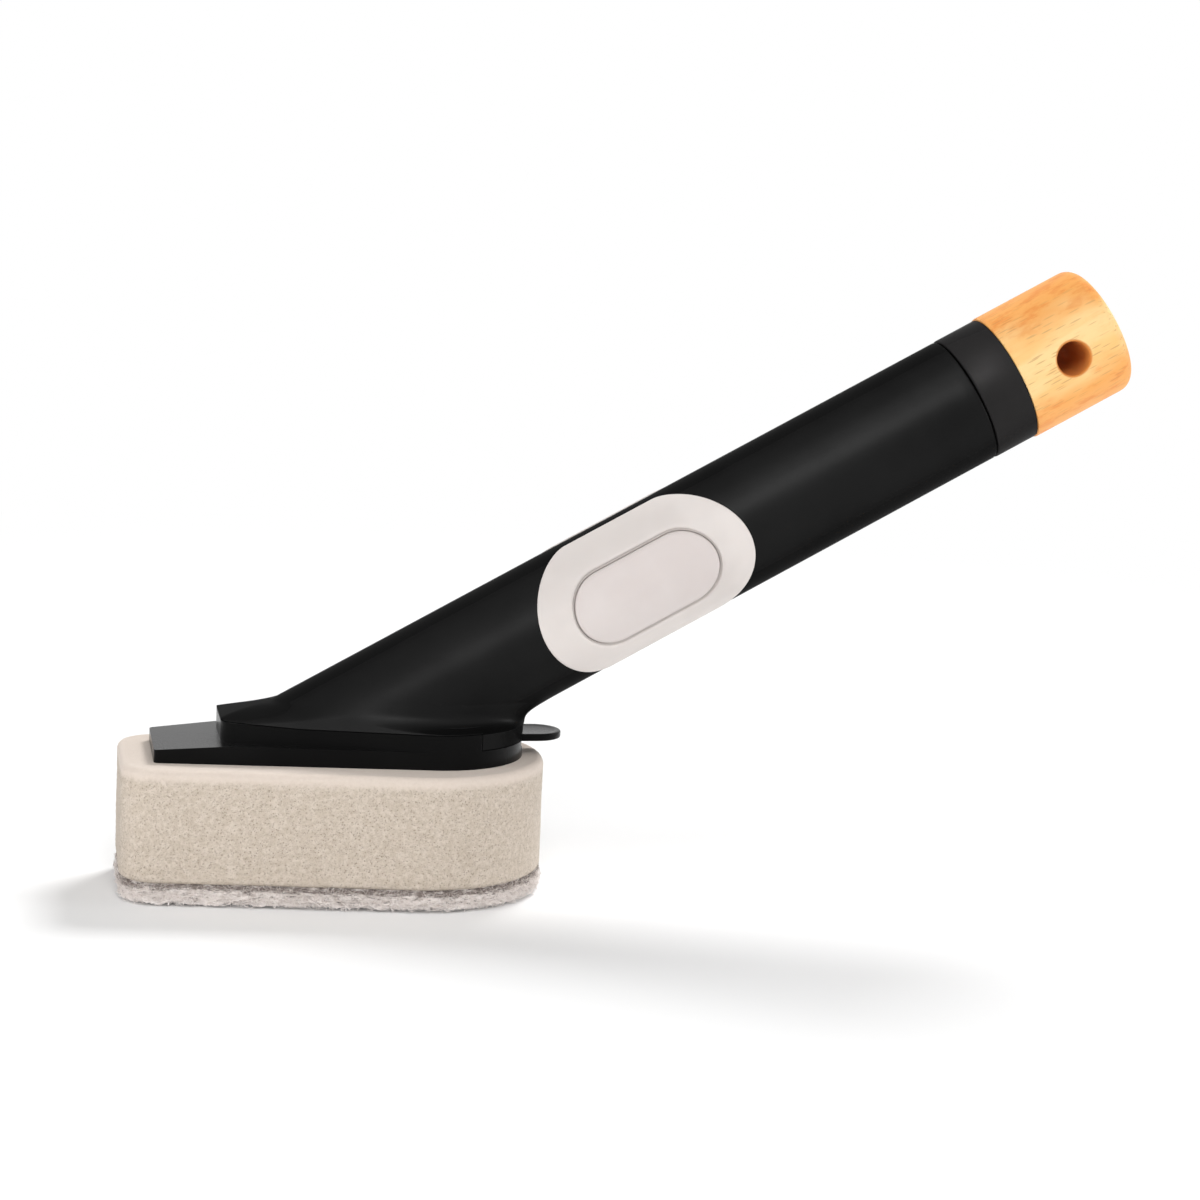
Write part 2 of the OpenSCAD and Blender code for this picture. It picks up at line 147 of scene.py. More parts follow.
@dataclass(frozen=True)
class Iron:
    """Outline of a small flat iron: two front corners and one round heel, in millimetres."""

    front: float
    half: float
    corner: float
    heel_x: float
    heel_r: float

    def flank(self) -> float:
        """Works out the normal angle of the straight flank.

        Returns:
            The angle in radians.
        """
        run = self.heel_x - self.front - self.corner
        rise = self.half - self.corner
        lean = math.acos((self.corner - self.heel_r) / math.hypot(run, rise))
        return math.atan2(-rise, run) + lean

    def point(self, angle: float) -> Vector:
        """Finds the outline's point that faces one way.

        Args:
            angle: Direction of the outward normal, from 0 to a full turn.

        Returns:
            The point in the plane.
        """
        out = Vector((math.cos(angle), math.sin(angle)))
        if math.pi - abs(math.pi - angle) < self.flank():
            return Vector((self.heel_x, 0.0)) + out * self.heel_r
        side = 1.0 if angle < math.pi else -1.0
        return self._front_centre(side) + out * self.corner

    def _front_centre(self, side: float) -> Vector:
        """Centre of one front corner, on the side whose sign is given."""
        return Vector((self.front + self.corner, side * (self.half - self.corner)))

    def ring(self, inset: float, z: float, step: float = 0.8) -> list[Vector]:
        """Walks round the outline at an even step.

        Args:
            inset: Distance that the walk is drawn in from the outline.
            z: Height of the ring.
            step: Distance between points along the outline.

        Returns:
            The ring's points, the same number for every inset.
        """
        flank = self.flank()
        heel_n = max(8, round(2 * flank * self.heel_r / step))
        nose_turn = math.pi - flank
        nose_n = max(4, round(nose_turn * self.corner / step))
        arcs = ((Vector((self.heel_x, 0.0)), self.heel_r, -flank, 2 * flank, heel_n),
                (self._front_centre(1.0), self.corner, flank, nose_turn, nose_n),
                (self._front_centre(-1.0), self.corner, math.pi, nose_turn, nose_n))
        marks = []
        for centre, r, start, sweep, count in arcs:
            for k in range(count + 1):
                angle = start + sweep * k / count
                out = Vector((math.cos(angle), math.sin(angle)))
                marks.append((centre + out * r, out))
        ring = []
        for k, (start, out) in enumerate(marks):
            end, out_end = marks[(k + 1) % len(marks)]
            parts = max(1, round((end - start).length / step))
            for part in range(parts):
                t = part / parts
                spot = start.lerp(end, t) - out.lerp(out_end, t).normalized() * inset
                ring.append(Vector((spot.x, spot.y, z)))
        return ring


@dataclass(frozen=True)
class WandSizes:
    """Sizes of the wand in millimetres, as its solids have them."""

    tube_r: float = 15.0
    tube_wall: float = 1.4
    tilt: float = math.radians(29.3)
    axis_x: float = 9.2
    seam_s: float = 154.2
    seam_gap: float = 0.35
    collar_len: float = 10.8
    knob_len: float = 26.5
    split_z: float = 38.1
    socket_end_x: float = 31.0
    scour_t: float = 5.1
    foam_t: float = 25.3
    flange_t: float = 4.0
    tab_rise: float = 1.25
    part_gap: float = 0.15
    slide_gap: float = 0.3
    outlet_x: float = 4.0
    nose_rise: float = 0.9
    bend_x: float = -17.0
    level_x: float = -8.0
    tab_w: float = 12.0
    hole_r: float = 3.9
    hole_s: float = 12.7
    foot: Iron = Iron(front=-26.0, half=10.0, corner=3.6, heel_x=23.2, heel_r=19.8)

    @property
    def bore_r(self) -> float:
        """Radius of the soap bore."""
        return self.tube_r - self.tube_wall

    @property
    def sponge_top(self) -> float:
        """Height of the foam's top."""
        return self.scour_t + self.foam_t

    @property
    def flange_top(self) -> float:
        """Height of the carriage's flange."""
        return self.sponge_top + self.flange_t

    @property
    def tab_top(self) -> float:
        """Height of the release tab's top."""
        return self.flange_top + self.tab_rise

    @property
    def wood_s(self) -> float:
        """Place along the axis where the wood begins."""
        return self.seam_s + self.collar_len

    def on_axis(self, x: float, y: float, s: float) -> Vector:
        """Places a point of the handle's axis frame in the space of the whole part.

        Args:
            x: Offset towards the handle's underside.
            y: Offset to the side.
            s: Distance along the axis.

        Returns:
            The point in millimetres.
        """
        run, rise = math.cos(self.tilt), math.sin(self.tilt)
        return Vector((self.axis_x + s * run + x * rise, y, self.split_z + s * rise - x * run))

    def tube_ring(self, r: float, s: float, columns: int) -> list[Vector]:
        """Makes a circle round the handle's axis.

        Args:
            r: Radius of the circle.
            s: Place along the axis.
            columns: Number of points.

        Returns:
            The circle's points.
        """
        return [self.on_axis(x, y, s) for x, y in circle(r, columns)]

    def slant(self, r: float, z: float, columns: int) -> list[Vector]:
        """Makes the level section of a cylinder round the handle's axis.

        Args:
            r: Radius of the cylinder.
            z: Height of the section.
            columns: Number of points.

        Returns:
            The section's points.
        """
        centre = self.axis_x + (z - self.split_z) / math.tan(self.tilt)
        return [Vector((centre + x / math.sin(self.tilt), y, z)) for x, y in circle(r, columns)]

    def parting(self, gap: float = 0.0) -> list[tuple[float, float]]:
        """Follows the parting line of foot and head forward to the nose, where it rises.

        Args:
            gap: Distance above the line.

        Returns:
            The line's points as X and Z.
        """
        rises = ((self.level_x, 0.0), (self.bend_x, 0.45), (self.foot.front, 1.0))
        return [(x, self.split_z + self.nose_rise * share + gap) for x, share in rises]


# Meshes


def link(name: str, data: bpy.types.ID) -> bpy.types.Object:
    """Makes an object of a mesh, a lamp or a camera and links it to the scene.

    Args:
        name: Name of the object.
        data: What the object shows.

    Returns:
        The object.
    """
    item = bpy.data.objects.new(name, data)
    bpy.context.scene.collection.objects.link(item)
    return item


def make_piece(name: str, points: Sequence[Vector], faces: Sequence[Sequence[int]]) -> bpy.types.Object:
    """Makes a mesh object from points in millimetres, with its faces turned outwards.

    Args:
        name: Name of the object.
        points: Points in millimetres.
        faces: Faces as rows of point numbers.

    Returns:
        The object, linked to the scene.
    """
    mesh = bpy.data.meshes.new(name)
    mesh.from_pydata([tuple(p * MM) for p in points], [], [tuple(f) for f in faces])
    shape = bmesh.new()
    shape.from_mesh(mesh)
    bmesh.ops.remove_doubles(shape, verts=shape.verts, dist=0.5e-6)
    bmesh.ops.recalc_face_normals(shape, faces=shape.faces)
    shape.to_mesh(mesh)
    shape.free()
    return link(name, mesh)


def skin(name: str, rings: Sequence[Sequence[Vector]], ends: Ends = Ends.CAPPED) -> bpy.types.Object:
    """Makes a surface that runs through rings of points.

    Args:
        name: Name of the object.
        rings: Rings with the same number of points.
        ends: How the surface ends.

    Returns:
        The object.
    """
    count = len(rings[0])
    faces: list[tuple[int, ...]] = []
    for i in range(len(rings) if ends is Ends.JOINED else len(rings) - 1):
        low, high = i * count, (i + 1) % len(rings) * count
        for k in range(count):
            n = (k + 1) % count
            faces.append((low + k, low + n, high + n, high + k))
    if ends is Ends.CAPPED:
        faces.append(tuple(range(count - 1, -1, -1)))
        faces.append(tuple(range((len(rings) - 1) * count, len(rings) * count)))
    return make_piece(name, [p for ring in rings for p in ring], faces)


def slab(name: str, outline: Iron, inset: float, low: float, high: float,
         step: float = 0.8) -> bpy.types.Object:
    """Makes a level slab with the outline of an iron.

    Args:
        name: Name of the object.
        outline: The outline.
        inset: Distance that the sides are drawn in.
        low: Height of the underside.
        high: Height of the top.
        step: Distance between points round the slab.

    Returns:
        The object.
    """
    return skin(name, [outline.ring(inset, low, step), outline.ring(inset, high, step)])


def box(name: str, low: Point, high: Point) -> bpy.types.Object:
    """Makes a box between two corners in millimetres, as a tool for cutting."""
    corners = [(low[0], low[1]), (high[0], low[1]), (high[0], high[1]), (low[0], high[1])]
    return skin(name, [[Vector((x, y, z)) for x, y in corners] for z in (low[2], high[2])])


def prism(name: str, section: Sequence[tuple[float, float]], half: float) -> bpy.types.Object:
    """Pushes a section in the X-Z plane out to both sides.

    Args:
        name: Name of the object.
        section: Corners as X and Z in millimetres.
        half: Half of the prism's width along Y.

    Returns:
        The object.
    """
    return skin(name, [[Vector((x, y, z)) for x, z in section] for y in (-half, half)])


def turned(name: str, profile: Sequence[tuple[float, float]],
           place: Callable[[float, float, float], Vector], columns: int,
           ends: Ends = Ends.CAPPED) -> bpy.types.Object:
    """Turns a profile round an axis.

    Args:
        name: Name of the object.
        profile: Radius and distance along the axis for each row.
        place: Function that puts an axis point into the part's space.
        columns: Number of columns round the axis.
        ends: How the turned surface ends.

    Returns:
        The object.
    """
    return skin(name, [[place(x, y, s) for x, y in circle(r, columns)] for r, s in profile], ends)


def settle(piece: bpy.types.Object) -> bpy.types.Object:
    """Applies a piece's modifiers and returns it as a plain mesh.

    Args:
        piece: The object with its modifiers.

    Returns:
        The same object with a plain mesh.
    """
    bpy.context.view_layer.update()
    graph = bpy.context.evaluated_depsgraph_get()
    mesh = bpy.data.meshes.new_from_object(piece.evaluated_get(graph))
    old = piece.data
    piece.modifiers.clear()
    piece.data = mesh
    bpy.data.meshes.remove(old)
    return piece


def carve(piece: bpy.types.Object, operation: Operation,
          *tools: bpy.types.Object) -> bpy.types.Object:
    """Cuts tools from a piece, adds them to it or keeps what they share.

    Args:
        piece: The solid that is worked on.
        operation: What the tools do.
        *tools: Solids that are used up.

    Returns:
        The piece.
    """
    for tool in tools:
        step = piece.modifiers.new(tool.name, "BOOLEAN")
        step.operation = operation.value
        step.solver = "EXACT"
        step.object = tool
        settle(piece)
        old = tool.data
        bpy.data.objects.remove(tool)
        bpy.data.meshes.remove(old)
    return piece


@dataclass(frozen=True)
class Fixing:
    """What a finished piece rides on and stands for."""

    body: str
    slot: str
    nodes: tuple[str, ...] = ()
    smooth: float = 35.0
    pad_fill: float | None = None


def coat(piece: bpy.types.Object, material: bpy.types.Material) -> None:
    """Gives a piece its one finish."""
    piece.data.materials.clear()
    piece.data.materials.append(material)


def dress(node: bpy.types.Object, material: bpy.types.Material) -> None:
    """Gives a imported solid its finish."""
    coat(node, material)
    LOG.info("%s: packed solid with its own finish", node.name)


def fix(piece: bpy.types.Object, material: bpy.types.Material, fixing: Fixing) -> bpy.types.Object:
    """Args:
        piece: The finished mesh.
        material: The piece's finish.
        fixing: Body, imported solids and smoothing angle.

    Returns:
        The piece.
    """
    coat(piece, material)
    mesh = piece.data
    for face in mesh.polygons:
        face.material_index = 0
    mesh.shade_smooth()
    mesh.set_sharp_from_angle(angle=math.radians(fixing.smooth))
    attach(piece, fixing.body)
    if fixing.nodes:
        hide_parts(*fixing.nodes)
    LOG.info("%s: %d faces, rides on %s", piece.name, len(mesh.polygons), fixing.body)
    return piece


# Nodes

Value = Union["Wire", float, tuple, str]


def add_node(tree: bpy.types.NodeTree, kind: str, settings: dict[str, Any] | None = None,
             inputs: dict[int | str, Any] | None = None) -> bpy.types.Node:
    """Adds a node to a tree, first with its settings and then with its sockets.

    Args:
        tree: Tree of a material, of the world or of a shape.
        kind: Type of the node.
        settings: Properties of the node.
        inputs: Values or sockets for its inputs, by name or number.

    Returns:
        The node.
    """
    node = tree.nodes.new(kind)
    for key, value in (settings or {}).items():
        setattr(node, key, value)
    for key, value in (inputs or {}).items():
        if isinstance(value, bpy.types.NodeSocket):
            tree.links.new(value, node.inputs[key])
        else:
            node.inputs[key].default_value = value
    return node


class Wire:
    """A socket in shader maths. Expressions on wires add Math nodes."""

    def __init__(self, graph: "Graph", socket: bpy.types.NodeSocket) -> None:
        """Wraps a socket of a graph."""
        self.graph = graph
        self.socket = socket

    def math(self, operation: str, *others: Value, clamp: bool = False) -> "Wire":
        """Adds a Math node that starts with this wire.

        Args:
            operation: The node's operation.
            *others: The node's other values.
            clamp: True to hold the result between 0 and 1.

        Returns:
            The result.
        """
        settings = {"operation": operation, "use_clamp": clamp}
        return self.graph.add("ShaderNodeMath", settings, dict(enumerate((self, *others))))

    def __add__(self, other: Value) -> "Wire":
        """Adds a value."""
        return self.math("ADD", other)

    __radd__ = __add__

    def __mul__(self, other: Value) -> "Wire":
        """Multiplies by a value."""
        return self.math("MULTIPLY", other)

    __rmul__ = __mul__

    def __sub__(self, other: Value) -> "Wire":
        """Takes a value away."""
        return self.math("SUBTRACT", other)

    def __rsub__(self, other: float) -> "Wire":
        """Takes this wire away from a number."""
        return self.graph.add("ShaderNodeMath", {"operation": "SUBTRACT"}, {0: other, 1: self})

    def ease(self, start: float, end: float) -> "Wire":
        """Passes smoothly from 0 where this wire has the start value to 1 at the end value.

        Args:
            start: Value at which the result is 0.
            end: Value at which the result is 1.

        Returns:
            The result.
        """
        falls = end < start
        return self.graph.add("ShaderNodeMapRange", {"interpolation_type": "SMOOTHSTEP"},
                              {"Value": self, "From Min": min(start, end), "From Max": max(start, end),
                               "To Min": float(falls), "To Max": float(not falls)})


class Graph:
    """The shader nodes of a material or of the world."""

    def __init__(self, owner: bpy.types.Material | bpy.types.World) -> None:
        """Clears the owner's nodes.

        Args:
            owner: The material or the world.
        """
        self.owner = owner
        owner.use_nodes = True
        self.tree = owner.node_tree
        self.tree.nodes.clear()

    def add(self, kind: str, settings: dict[str, Any] | None = None,
            inputs: dict[int | str, Value] | None = None, out: int | str = 0) -> Wire:
        """Adds a node and gives one of its outputs.

        Args:
            kind: Type of the node.
            settings: Properties of the node.
            inputs: Numbers, colours or wires for its sockets, by name or number.
            out: Output that is wanted.

        Returns:
            A wire from that output.
        """
        sockets = {key: value.socket if isinstance(value, Wire) else value
                   for key, value in (inputs or {}).items()}
        return Wire(self, add_node(self.tree, kind, settings, sockets).outputs[out])

    def place(self, scale: Point = (1.0, 1.0, 1.0)) -> Wire:
        """Gives the piece's own coordinates in metres, scaled along each axis."""
        own = self.add("ShaderNodeTexCoord", out="Object")
        return self.add("ShaderNodeMapping", {"vector_type": "POINT"}, {"Vector": own, "Scale": scale})

    def along(self, origin: Point, tilt: float, stretch: float = 1.0) -> Wire:
        """Gives coordinates in metres whose Z follows the handle's axis.

        Args:
            origin: Point of the axis where the coordinates start.
            tilt: Tilt of the axis in radians.
            stretch: Factor by which a pattern is drawn out along the axis.

        Returns:
            The coordinates.
        """
        own = self.add("ShaderNodeTexCoord", out="Object")
        turn = (0.0, math.pi / 2 - tilt, 0.0)
        return self.add("ShaderNodeMapping", {"vector_type": "TEXTURE"},
                        {"Vector": own, "Location": origin, "Rotation": turn, "Scale": (1.0, 1.0, stretch)})

    def noise(self, where: Wire, scale: float, detail: float = 2.0, rough: float = 0.5) -> Wire:
        """Adds a noise pattern and returns its value."""
        return self.add("ShaderNodeTexNoise", {"noise_dimensions": "3D"},
                        {"Vector": where, "Scale": scale, "Detail": detail, "Roughness": rough})

    def cells(self, where: Wire, scale: float, feature: str = "F1") -> Wire:
        """Adds a cell pattern and returns the distance in it."""
        return self.add("ShaderNodeTexVoronoi", {"voronoi_dimensions": "3D", "feature": feature},
                        {"Vector": where, "Scale": scale}, out="Distance")

    def mix(self, factor: Value, first: Value, second: Value) -> Wire:
        """Mixes two colours, by the factor's share of the second."""
        return self.add("ShaderNodeMix", {"data_type": "RGBA", "clamp_factor": True},
                        {0: factor, 6: first, 7: second}, out=2)

    def bump(self, height: Wire, strength: float, distance: float, base: Wire | None = None) -> Wire:
        """Adds a bump whose height works over a distance in metres.

        Args:
            height: Height pattern.
            strength: Strength from 0 to 1.
            distance: Depth in metres.
            base: Normal that the bump starts from.

        Returns:
            The normal.
        """
        inputs: dict[int | str, Value] = {"Height": height, "Strength": strength,
                                          "Distance": distance}
        if base is not None:
            inputs["Normal"] = base
        return self.add("ShaderNodeBump", None, inputs)

    def split(self, vector: Wire) -> tuple[Wire, Wire, Wire]:
        """Splits a vector into its three numbers.

        Args:
            vector: The vector.

        Returns:
            Its X, Y and Z.
        """
        node = add_node(self.tree, "ShaderNodeSeparateXYZ", None, {0: vector.socket})
        x, y, z = (Wire(self, socket) for socket in node.outputs)
        return x, y, z

    def soft_edge(self, radius: float) -> Wire:
        """Gives a normal that rounds every edge by a radius in metres."""
        return self.add("ShaderNodeBevel", {"samples": 6}, {"Radius": radius})

    def close(self, **sockets: Value) -> bpy.types.Material:
        """Ends the material in one surface shader.

        Args:
            **sockets: The shader's sockets, with underscores for spaces.

        Returns:
            The finished material.
        """
        inputs = {key.replace("_", " "): value for key, value in sockets.items()}
        self.end(self.add("ShaderNodeBsdfPrincipled", None, inputs))
        return self.owner

    def end(self, surface: Wire, kind: str = "ShaderNodeOutputMaterial") -> None:
        """Joins a surface shader to the owner's output."""
        add_node(self.tree, kind, None, {"Surface": surface.socket})


# Finishes


@dataclass(frozen=True)
class MouldedPlastic:
    """Black plastic from a fine-sparked mould."""

    name: str
    tone: Colour = srgb(33, 33, 33)
    roughness: float = 0.38
    level: float = 0.02
    lustre: float = 0.65
    edge: float = 0.00025

    def make(self) -> bpy.types.Material:
        """Builds the material.

        Returns:
            The material.
        """
        graph = Graph(bpy.data.materials.new(self.name))
        where = graph.place()
        cloud = graph.noise(where, scale=38.0, detail=3.0, rough=0.55)
        grain = graph.noise(where, scale=5200.0, detail=2.0, rough=0.6)
        streaks = graph.place(scale=(1.0, 1.0, 0.35))
        scuff = graph.noise(streaks, scale=420.0, detail=4.0, rough=0.7).ease(0.62, 0.8)
        darker, paler = (tuple(v * gain for v in self.tone[:3]) + (1.0,) for gain in (0.78, 1.3))
        colour = graph.mix(cloud.ease(0.3, 0.7), darker, self.tone)
        colour = graph.mix(scuff * 0.25, colour, paler)
        rough = self.roughness + (cloud - 0.5) * 0.08 + (grain - 0.5) * 0.1 + scuff * 0.05
        normal = graph.bump(grain, strength=0.12, distance=0.00006, base=graph.soft_edge(self.edge))
        return graph.close(Base_Color=colour, Roughness=rough, Specular_IOR_Level=self.level,
                           Metallic=self.lustre, Specular_Tint=srgb(0, 0, 0), Normal=normal)


@dataclass(frozen=True)
class Silicone:
    """Pale silicone with a dry touch, with painted shade down in the groove round the buttons."""

    name: str
    axis: Point
    tilt: float
    tone: Colour = srgb(219, 212, 208)
    shade: Colour = srgb(211, 204, 200)
    # Painted shade: darker colour laid into the groove round the button
    groove: Colour = srgb(150, 141, 136)
    groove_top: float = 0.01498
    groove_low: float = 0.01462

    def make(self) -> bpy.types.Material:
        """Builds the material.

        Returns:
            The material.
        """
        graph = Graph(bpy.data.materials.new(self.name))
        where = graph.place()
        cloud = graph.noise(where, scale=60.0, detail=3.0, rough=0.5)
        grain = graph.noise(where, scale=4200.0, detail=2.0, rough=0.6)
        dust = graph.noise(where, scale=900.0, detail=4.0, rough=0.7).ease(0.68, 0.82)
        x, y, _ = graph.split(graph.along(self.axis, self.tilt))
        # Painted shade: darkens the groove where the surface sinks below the rim's top
        groove_shade = (x * x + y * y).math("SQRT").ease(self.groove_top, self.groove_low)
        colour = graph.mix(cloud.ease(0.35, 0.65), self.shade, self.tone)
        colour = graph.mix(dust * 0.12, colour, srgb(236, 231, 228))
        colour = graph.mix(groove_shade * 0.4, colour, self.groove)
        normal = graph.bump(grain, strength=0.1, distance=0.00005, base=graph.soft_edge(0.0002))
        return graph.close(Base_Color=colour, Roughness=0.55 + (grain - 0.5) * 0.12,
                           Specular_IOR_Level=0.35, Subsurface_Weight=0.1,
                           Subsurface_Radius=(0.0018, 0.0014, 0.0012), Normal=normal)


@dataclass(frozen=True)
class Beech:
    """Waxed beech, its grain along the handle's axis, paler along the middle of its front as a painted
    highlight, with the hole's unwaxed wood darkened partly as painted shade.
    """

    name: str
    tilt: float
    hole: Point
    hole_r: float
    pale: Colour = srgb(246, 209, 148)
    mid: Colour = srgb(243, 194, 124)
    warm: Colour = srgb(239, 164, 84)
    deep: Colour = srgb(229, 141, 68)
    fleck: Colour = srgb(180, 130, 80)
    # Unwaxed wood of the hanging hole, made darker also as painted shade
    bare_and_shaded: Colour = srgb(206, 122, 50)

    def make(self) -> bpy.types.Material:
        """Builds the material.

        Returns:
            The material.
        """
        graph = Graph(bpy.data.materials.new(self.name))
        long_way = self._grain(graph, 4.5)
        bands = graph.noise(long_way, scale=150.0, detail=3.0, rough=0.55)
        sway = graph.noise(self._grain(graph, 2.0), scale=120.0, detail=2.0, rough=0.5)
        figure = graph.noise(self._grain(graph, 2.4), scale=330.0, detail=4.0, rough=0.65)
        fine = graph.noise(self._grain(graph, 16.0), scale=1900.0, detail=3.0, rough=0.6)
        flakes = self._grain(graph, 9.0)
        ticks = graph.cells(flakes, 1450.0).ease(0.33, 0.16)
        sparse = graph.noise(self._grain(graph, 1.5), scale=180.0, detail=2.0, rough=0.5).ease(0.25, 0.5)
        across, _, along = graph.split(self._grain(graph, 1.0))
        # Painted highlight: paler along the middle of the knob's front, slightly above the axis, warmer and
        # deeper towards its top and bottom edges
        flank = ((across + 0.0022).math("ABSOLUTE") + (sway - 0.5) * 0.012).ease(0.0045, 0.0105)
        colour = graph.mix(bands.ease(0.36, 0.64), self.pale, self.mid)
        colour = graph.mix(flank * 0.85, colour, self.warm)
        colour = graph.mix(figure.ease(0.46, 0.66) * (0.12 + flank * 0.6), colour, self.deep)
        colour = graph.mix(fine.ease(0.52, 0.74) * 0.2, colour, self.warm)
        colour = graph.mix(ticks * sparse * (0.5 - flank * 0.25), colour, self.fleck)
        # The hole's wall takes the unwaxed wood colour, darkened partly as painted shade
        reach = (across * across + along * along).math("SQRT")
        inside = reach.ease(self.hole_r + 0.0007, self.hole_r + 0.0002)
        colour = graph.mix(inside * 0.9, colour, self.bare_and_shaded)
        height = fine * 0.6 + ticks * -0.5
        normal = graph.bump(height, strength=0.22, distance=0.00008, base=graph.soft_edge(0.0002))
        return graph.close(Base_Color=colour, Roughness=0.48 + (fine - 0.5) * 0.2 + inside * 0.4,
                           Specular_IOR_Level=0.25, Normal=normal)

    def _grain(self, graph: Graph, stretch: float) -> Wire:
        """Gives coordinates round the hole, turned along the grain and stretched that way."""
        return graph.along(self.hole, self.tilt, stretch)


@dataclass(frozen=True)
class SpongeFoam:
    """Open foam with fine dark pores, closed along its cut top edge and paler there as painted light."""

    name: str
    top: float
    body: Colour = srgb(202, 189, 174)
    lit: Colour = srgb(213, 201, 188)
    dim: Colour = srgb(187, 173, 157)
    pore: Colour = srgb(140, 125, 107)
    # Painted light: paler colour along the top edge
    edge: Colour = srgb(221, 208, 197)

    def make(self) -> bpy.types.Material:
        """Builds the material.

        Returns:
            The material.
        """
        graph = Graph(bpy.data.materials.new(self.name))
        where = graph.place()
        mottle = graph.noise(where, scale=760.0, detail=2.0, rough=0.6)
        speck = graph.noise(where, scale=1500.0, detail=3.0, rough=0.65)
        cloud = graph.noise(where, scale=90.0, detail=3.0, rough=0.6)
        holes = graph.cells(where, 1500.0).ease(0.34, 0.12)
        pits = graph.cells(where, 2900.0).ease(0.42, 0.14)
        _, _, height = graph.split(where)
        # Band below the top where the pores close and painted light makes the colour paler
        rim = height.ease(self.top - 0.0034, self.top - 0.0014)
        open_part = 1.0 - rim * 0.75
        colour = graph.mix(mottle.ease(0.34, 0.66), self.body, self.lit)
        colour = graph.mix(speck.ease(0.45, 0.66) * 0.6, colour, self.dim)
        colour = graph.mix(pits * 0.35 * open_part, colour, self.pore)
        colour = graph.mix(holes * (0.1 + cloud * 0.8) * open_part, colour, self.pore)
        colour = graph.mix(rim * 0.8, colour, self.edge)
        relief = 1.0 - holes * 0.7 - pits * 0.5 + speck * 0.5
        normal = graph.bump(relief * open_part, strength=0.5, distance=0.0004)
        return graph.close(Base_Color=colour, Roughness=0.95, Specular_IOR_Level=0.1,
                           Sheen_Weight=0.15, Sheen_Roughness=0.5, Normal=normal)


@dataclass(frozen=True)
class ScourFibre:
    """Non-woven scouring fibre, matted in level layers with painted shade between them, deepest just below
    the foam, and whiter where it frays.
    """

    name: str
    body: Colour = srgb(220, 209, 203)
    lit: Colour = srgb(251, 244, 240)
    # Painted shade: dark colour between the layers
    gap: Colour = srgb(98, 84, 78)

    def make(self) -> bpy.types.Material:
        """Builds the material.

        Returns:
            The material.
        """
        graph = Graph(bpy.data.materials.new(self.name))
        layers = graph.place(scale=(0.2, 0.2, 1.0))
        where = graph.place()
        mat = graph.noise(layers, scale=2100.0, detail=4.0, rough=0.75)
        strand = graph.cells(layers, 2000.0, "DISTANCE_TO_EDGE").ease(0.16, 0.02)
        knots = graph.noise(where, scale=800.0, detail=3.0, rough=0.7)
        _, _, height = graph.split(where)
        fray = height.ease(0.0022, 0.0004)
        # Painted shade: darker streaks between the layers, strongest in a band just below the foam
        under_foam_band = height.math("SUBTRACT", 0.0043).math("ABSOLUTE").ease(0.0012, 0.0)
        layer_shade = (mat - under_foam_band * 0.19).ease(0.47, 0.34) * (1.0 - fray * 0.8)
        colour = graph.mix(knots.ease(0.4, 0.62), self.body, self.lit)
        colour = graph.mix(strand * 0.5, colour, self.lit)
        colour = graph.mix(layer_shade * 0.8, colour, self.gap)
        colour = graph.mix(fray * 0.75, colour, self.lit)
        normal = graph.bump(mat + strand * 0.5 - layer_shade, strength=0.5, distance=0.0004)
        return graph.close(Base_Color=colour, Roughness=0.9, Specular_IOR_Level=0.15, Normal=normal)


@dataclass(frozen=True)
class ScrewSteel:
    """Plated steel of the small screw."""

    name: str

    def make(self) -> bpy.types.Material:
        """Builds the material.

        Returns:
            The material.
        """
        graph = Graph(bpy.data.materials.new(self.name))
        rings = graph.noise(graph.place(), scale=2500.0, detail=3.0, rough=0.6)
        colour = graph.mix(rings, srgb(170, 170, 172), srgb(205, 205, 206))
        normal = graph.bump(rings, strength=0.15, distance=0.00003, base=graph.soft_edge(0.0001))
        return graph.close(Base_Color=colour, Metallic=1.0, Roughness=0.3 + (rings - 0.5) * 0.2,
                           Normal=normal)


@dataclass(frozen=True)
class SealRubber:
    """Dark rubber of the cap's ring."""

    name: str

    def make(self) -> bpy.types.Material:
        """Builds the material.

        Returns:
            The material.
        """
        graph = Graph(bpy.data.materials.new(self.name))
        bloom = graph.noise(graph.place(), scale=1800.0, detail=3.0, rough=0.6)
        colour = graph.mix(bloom, srgb(38, 38, 40), srgb(56, 56, 58))
        normal = graph.bump(bloom, strength=0.1, distance=0.00004)
        return graph.close(Base_Color=colour, Roughness=0.62 + (bloom - 0.5) * 0.2,
                           Specular_IOR_Level=0.4, Normal=normal)


# Geometry Nodes


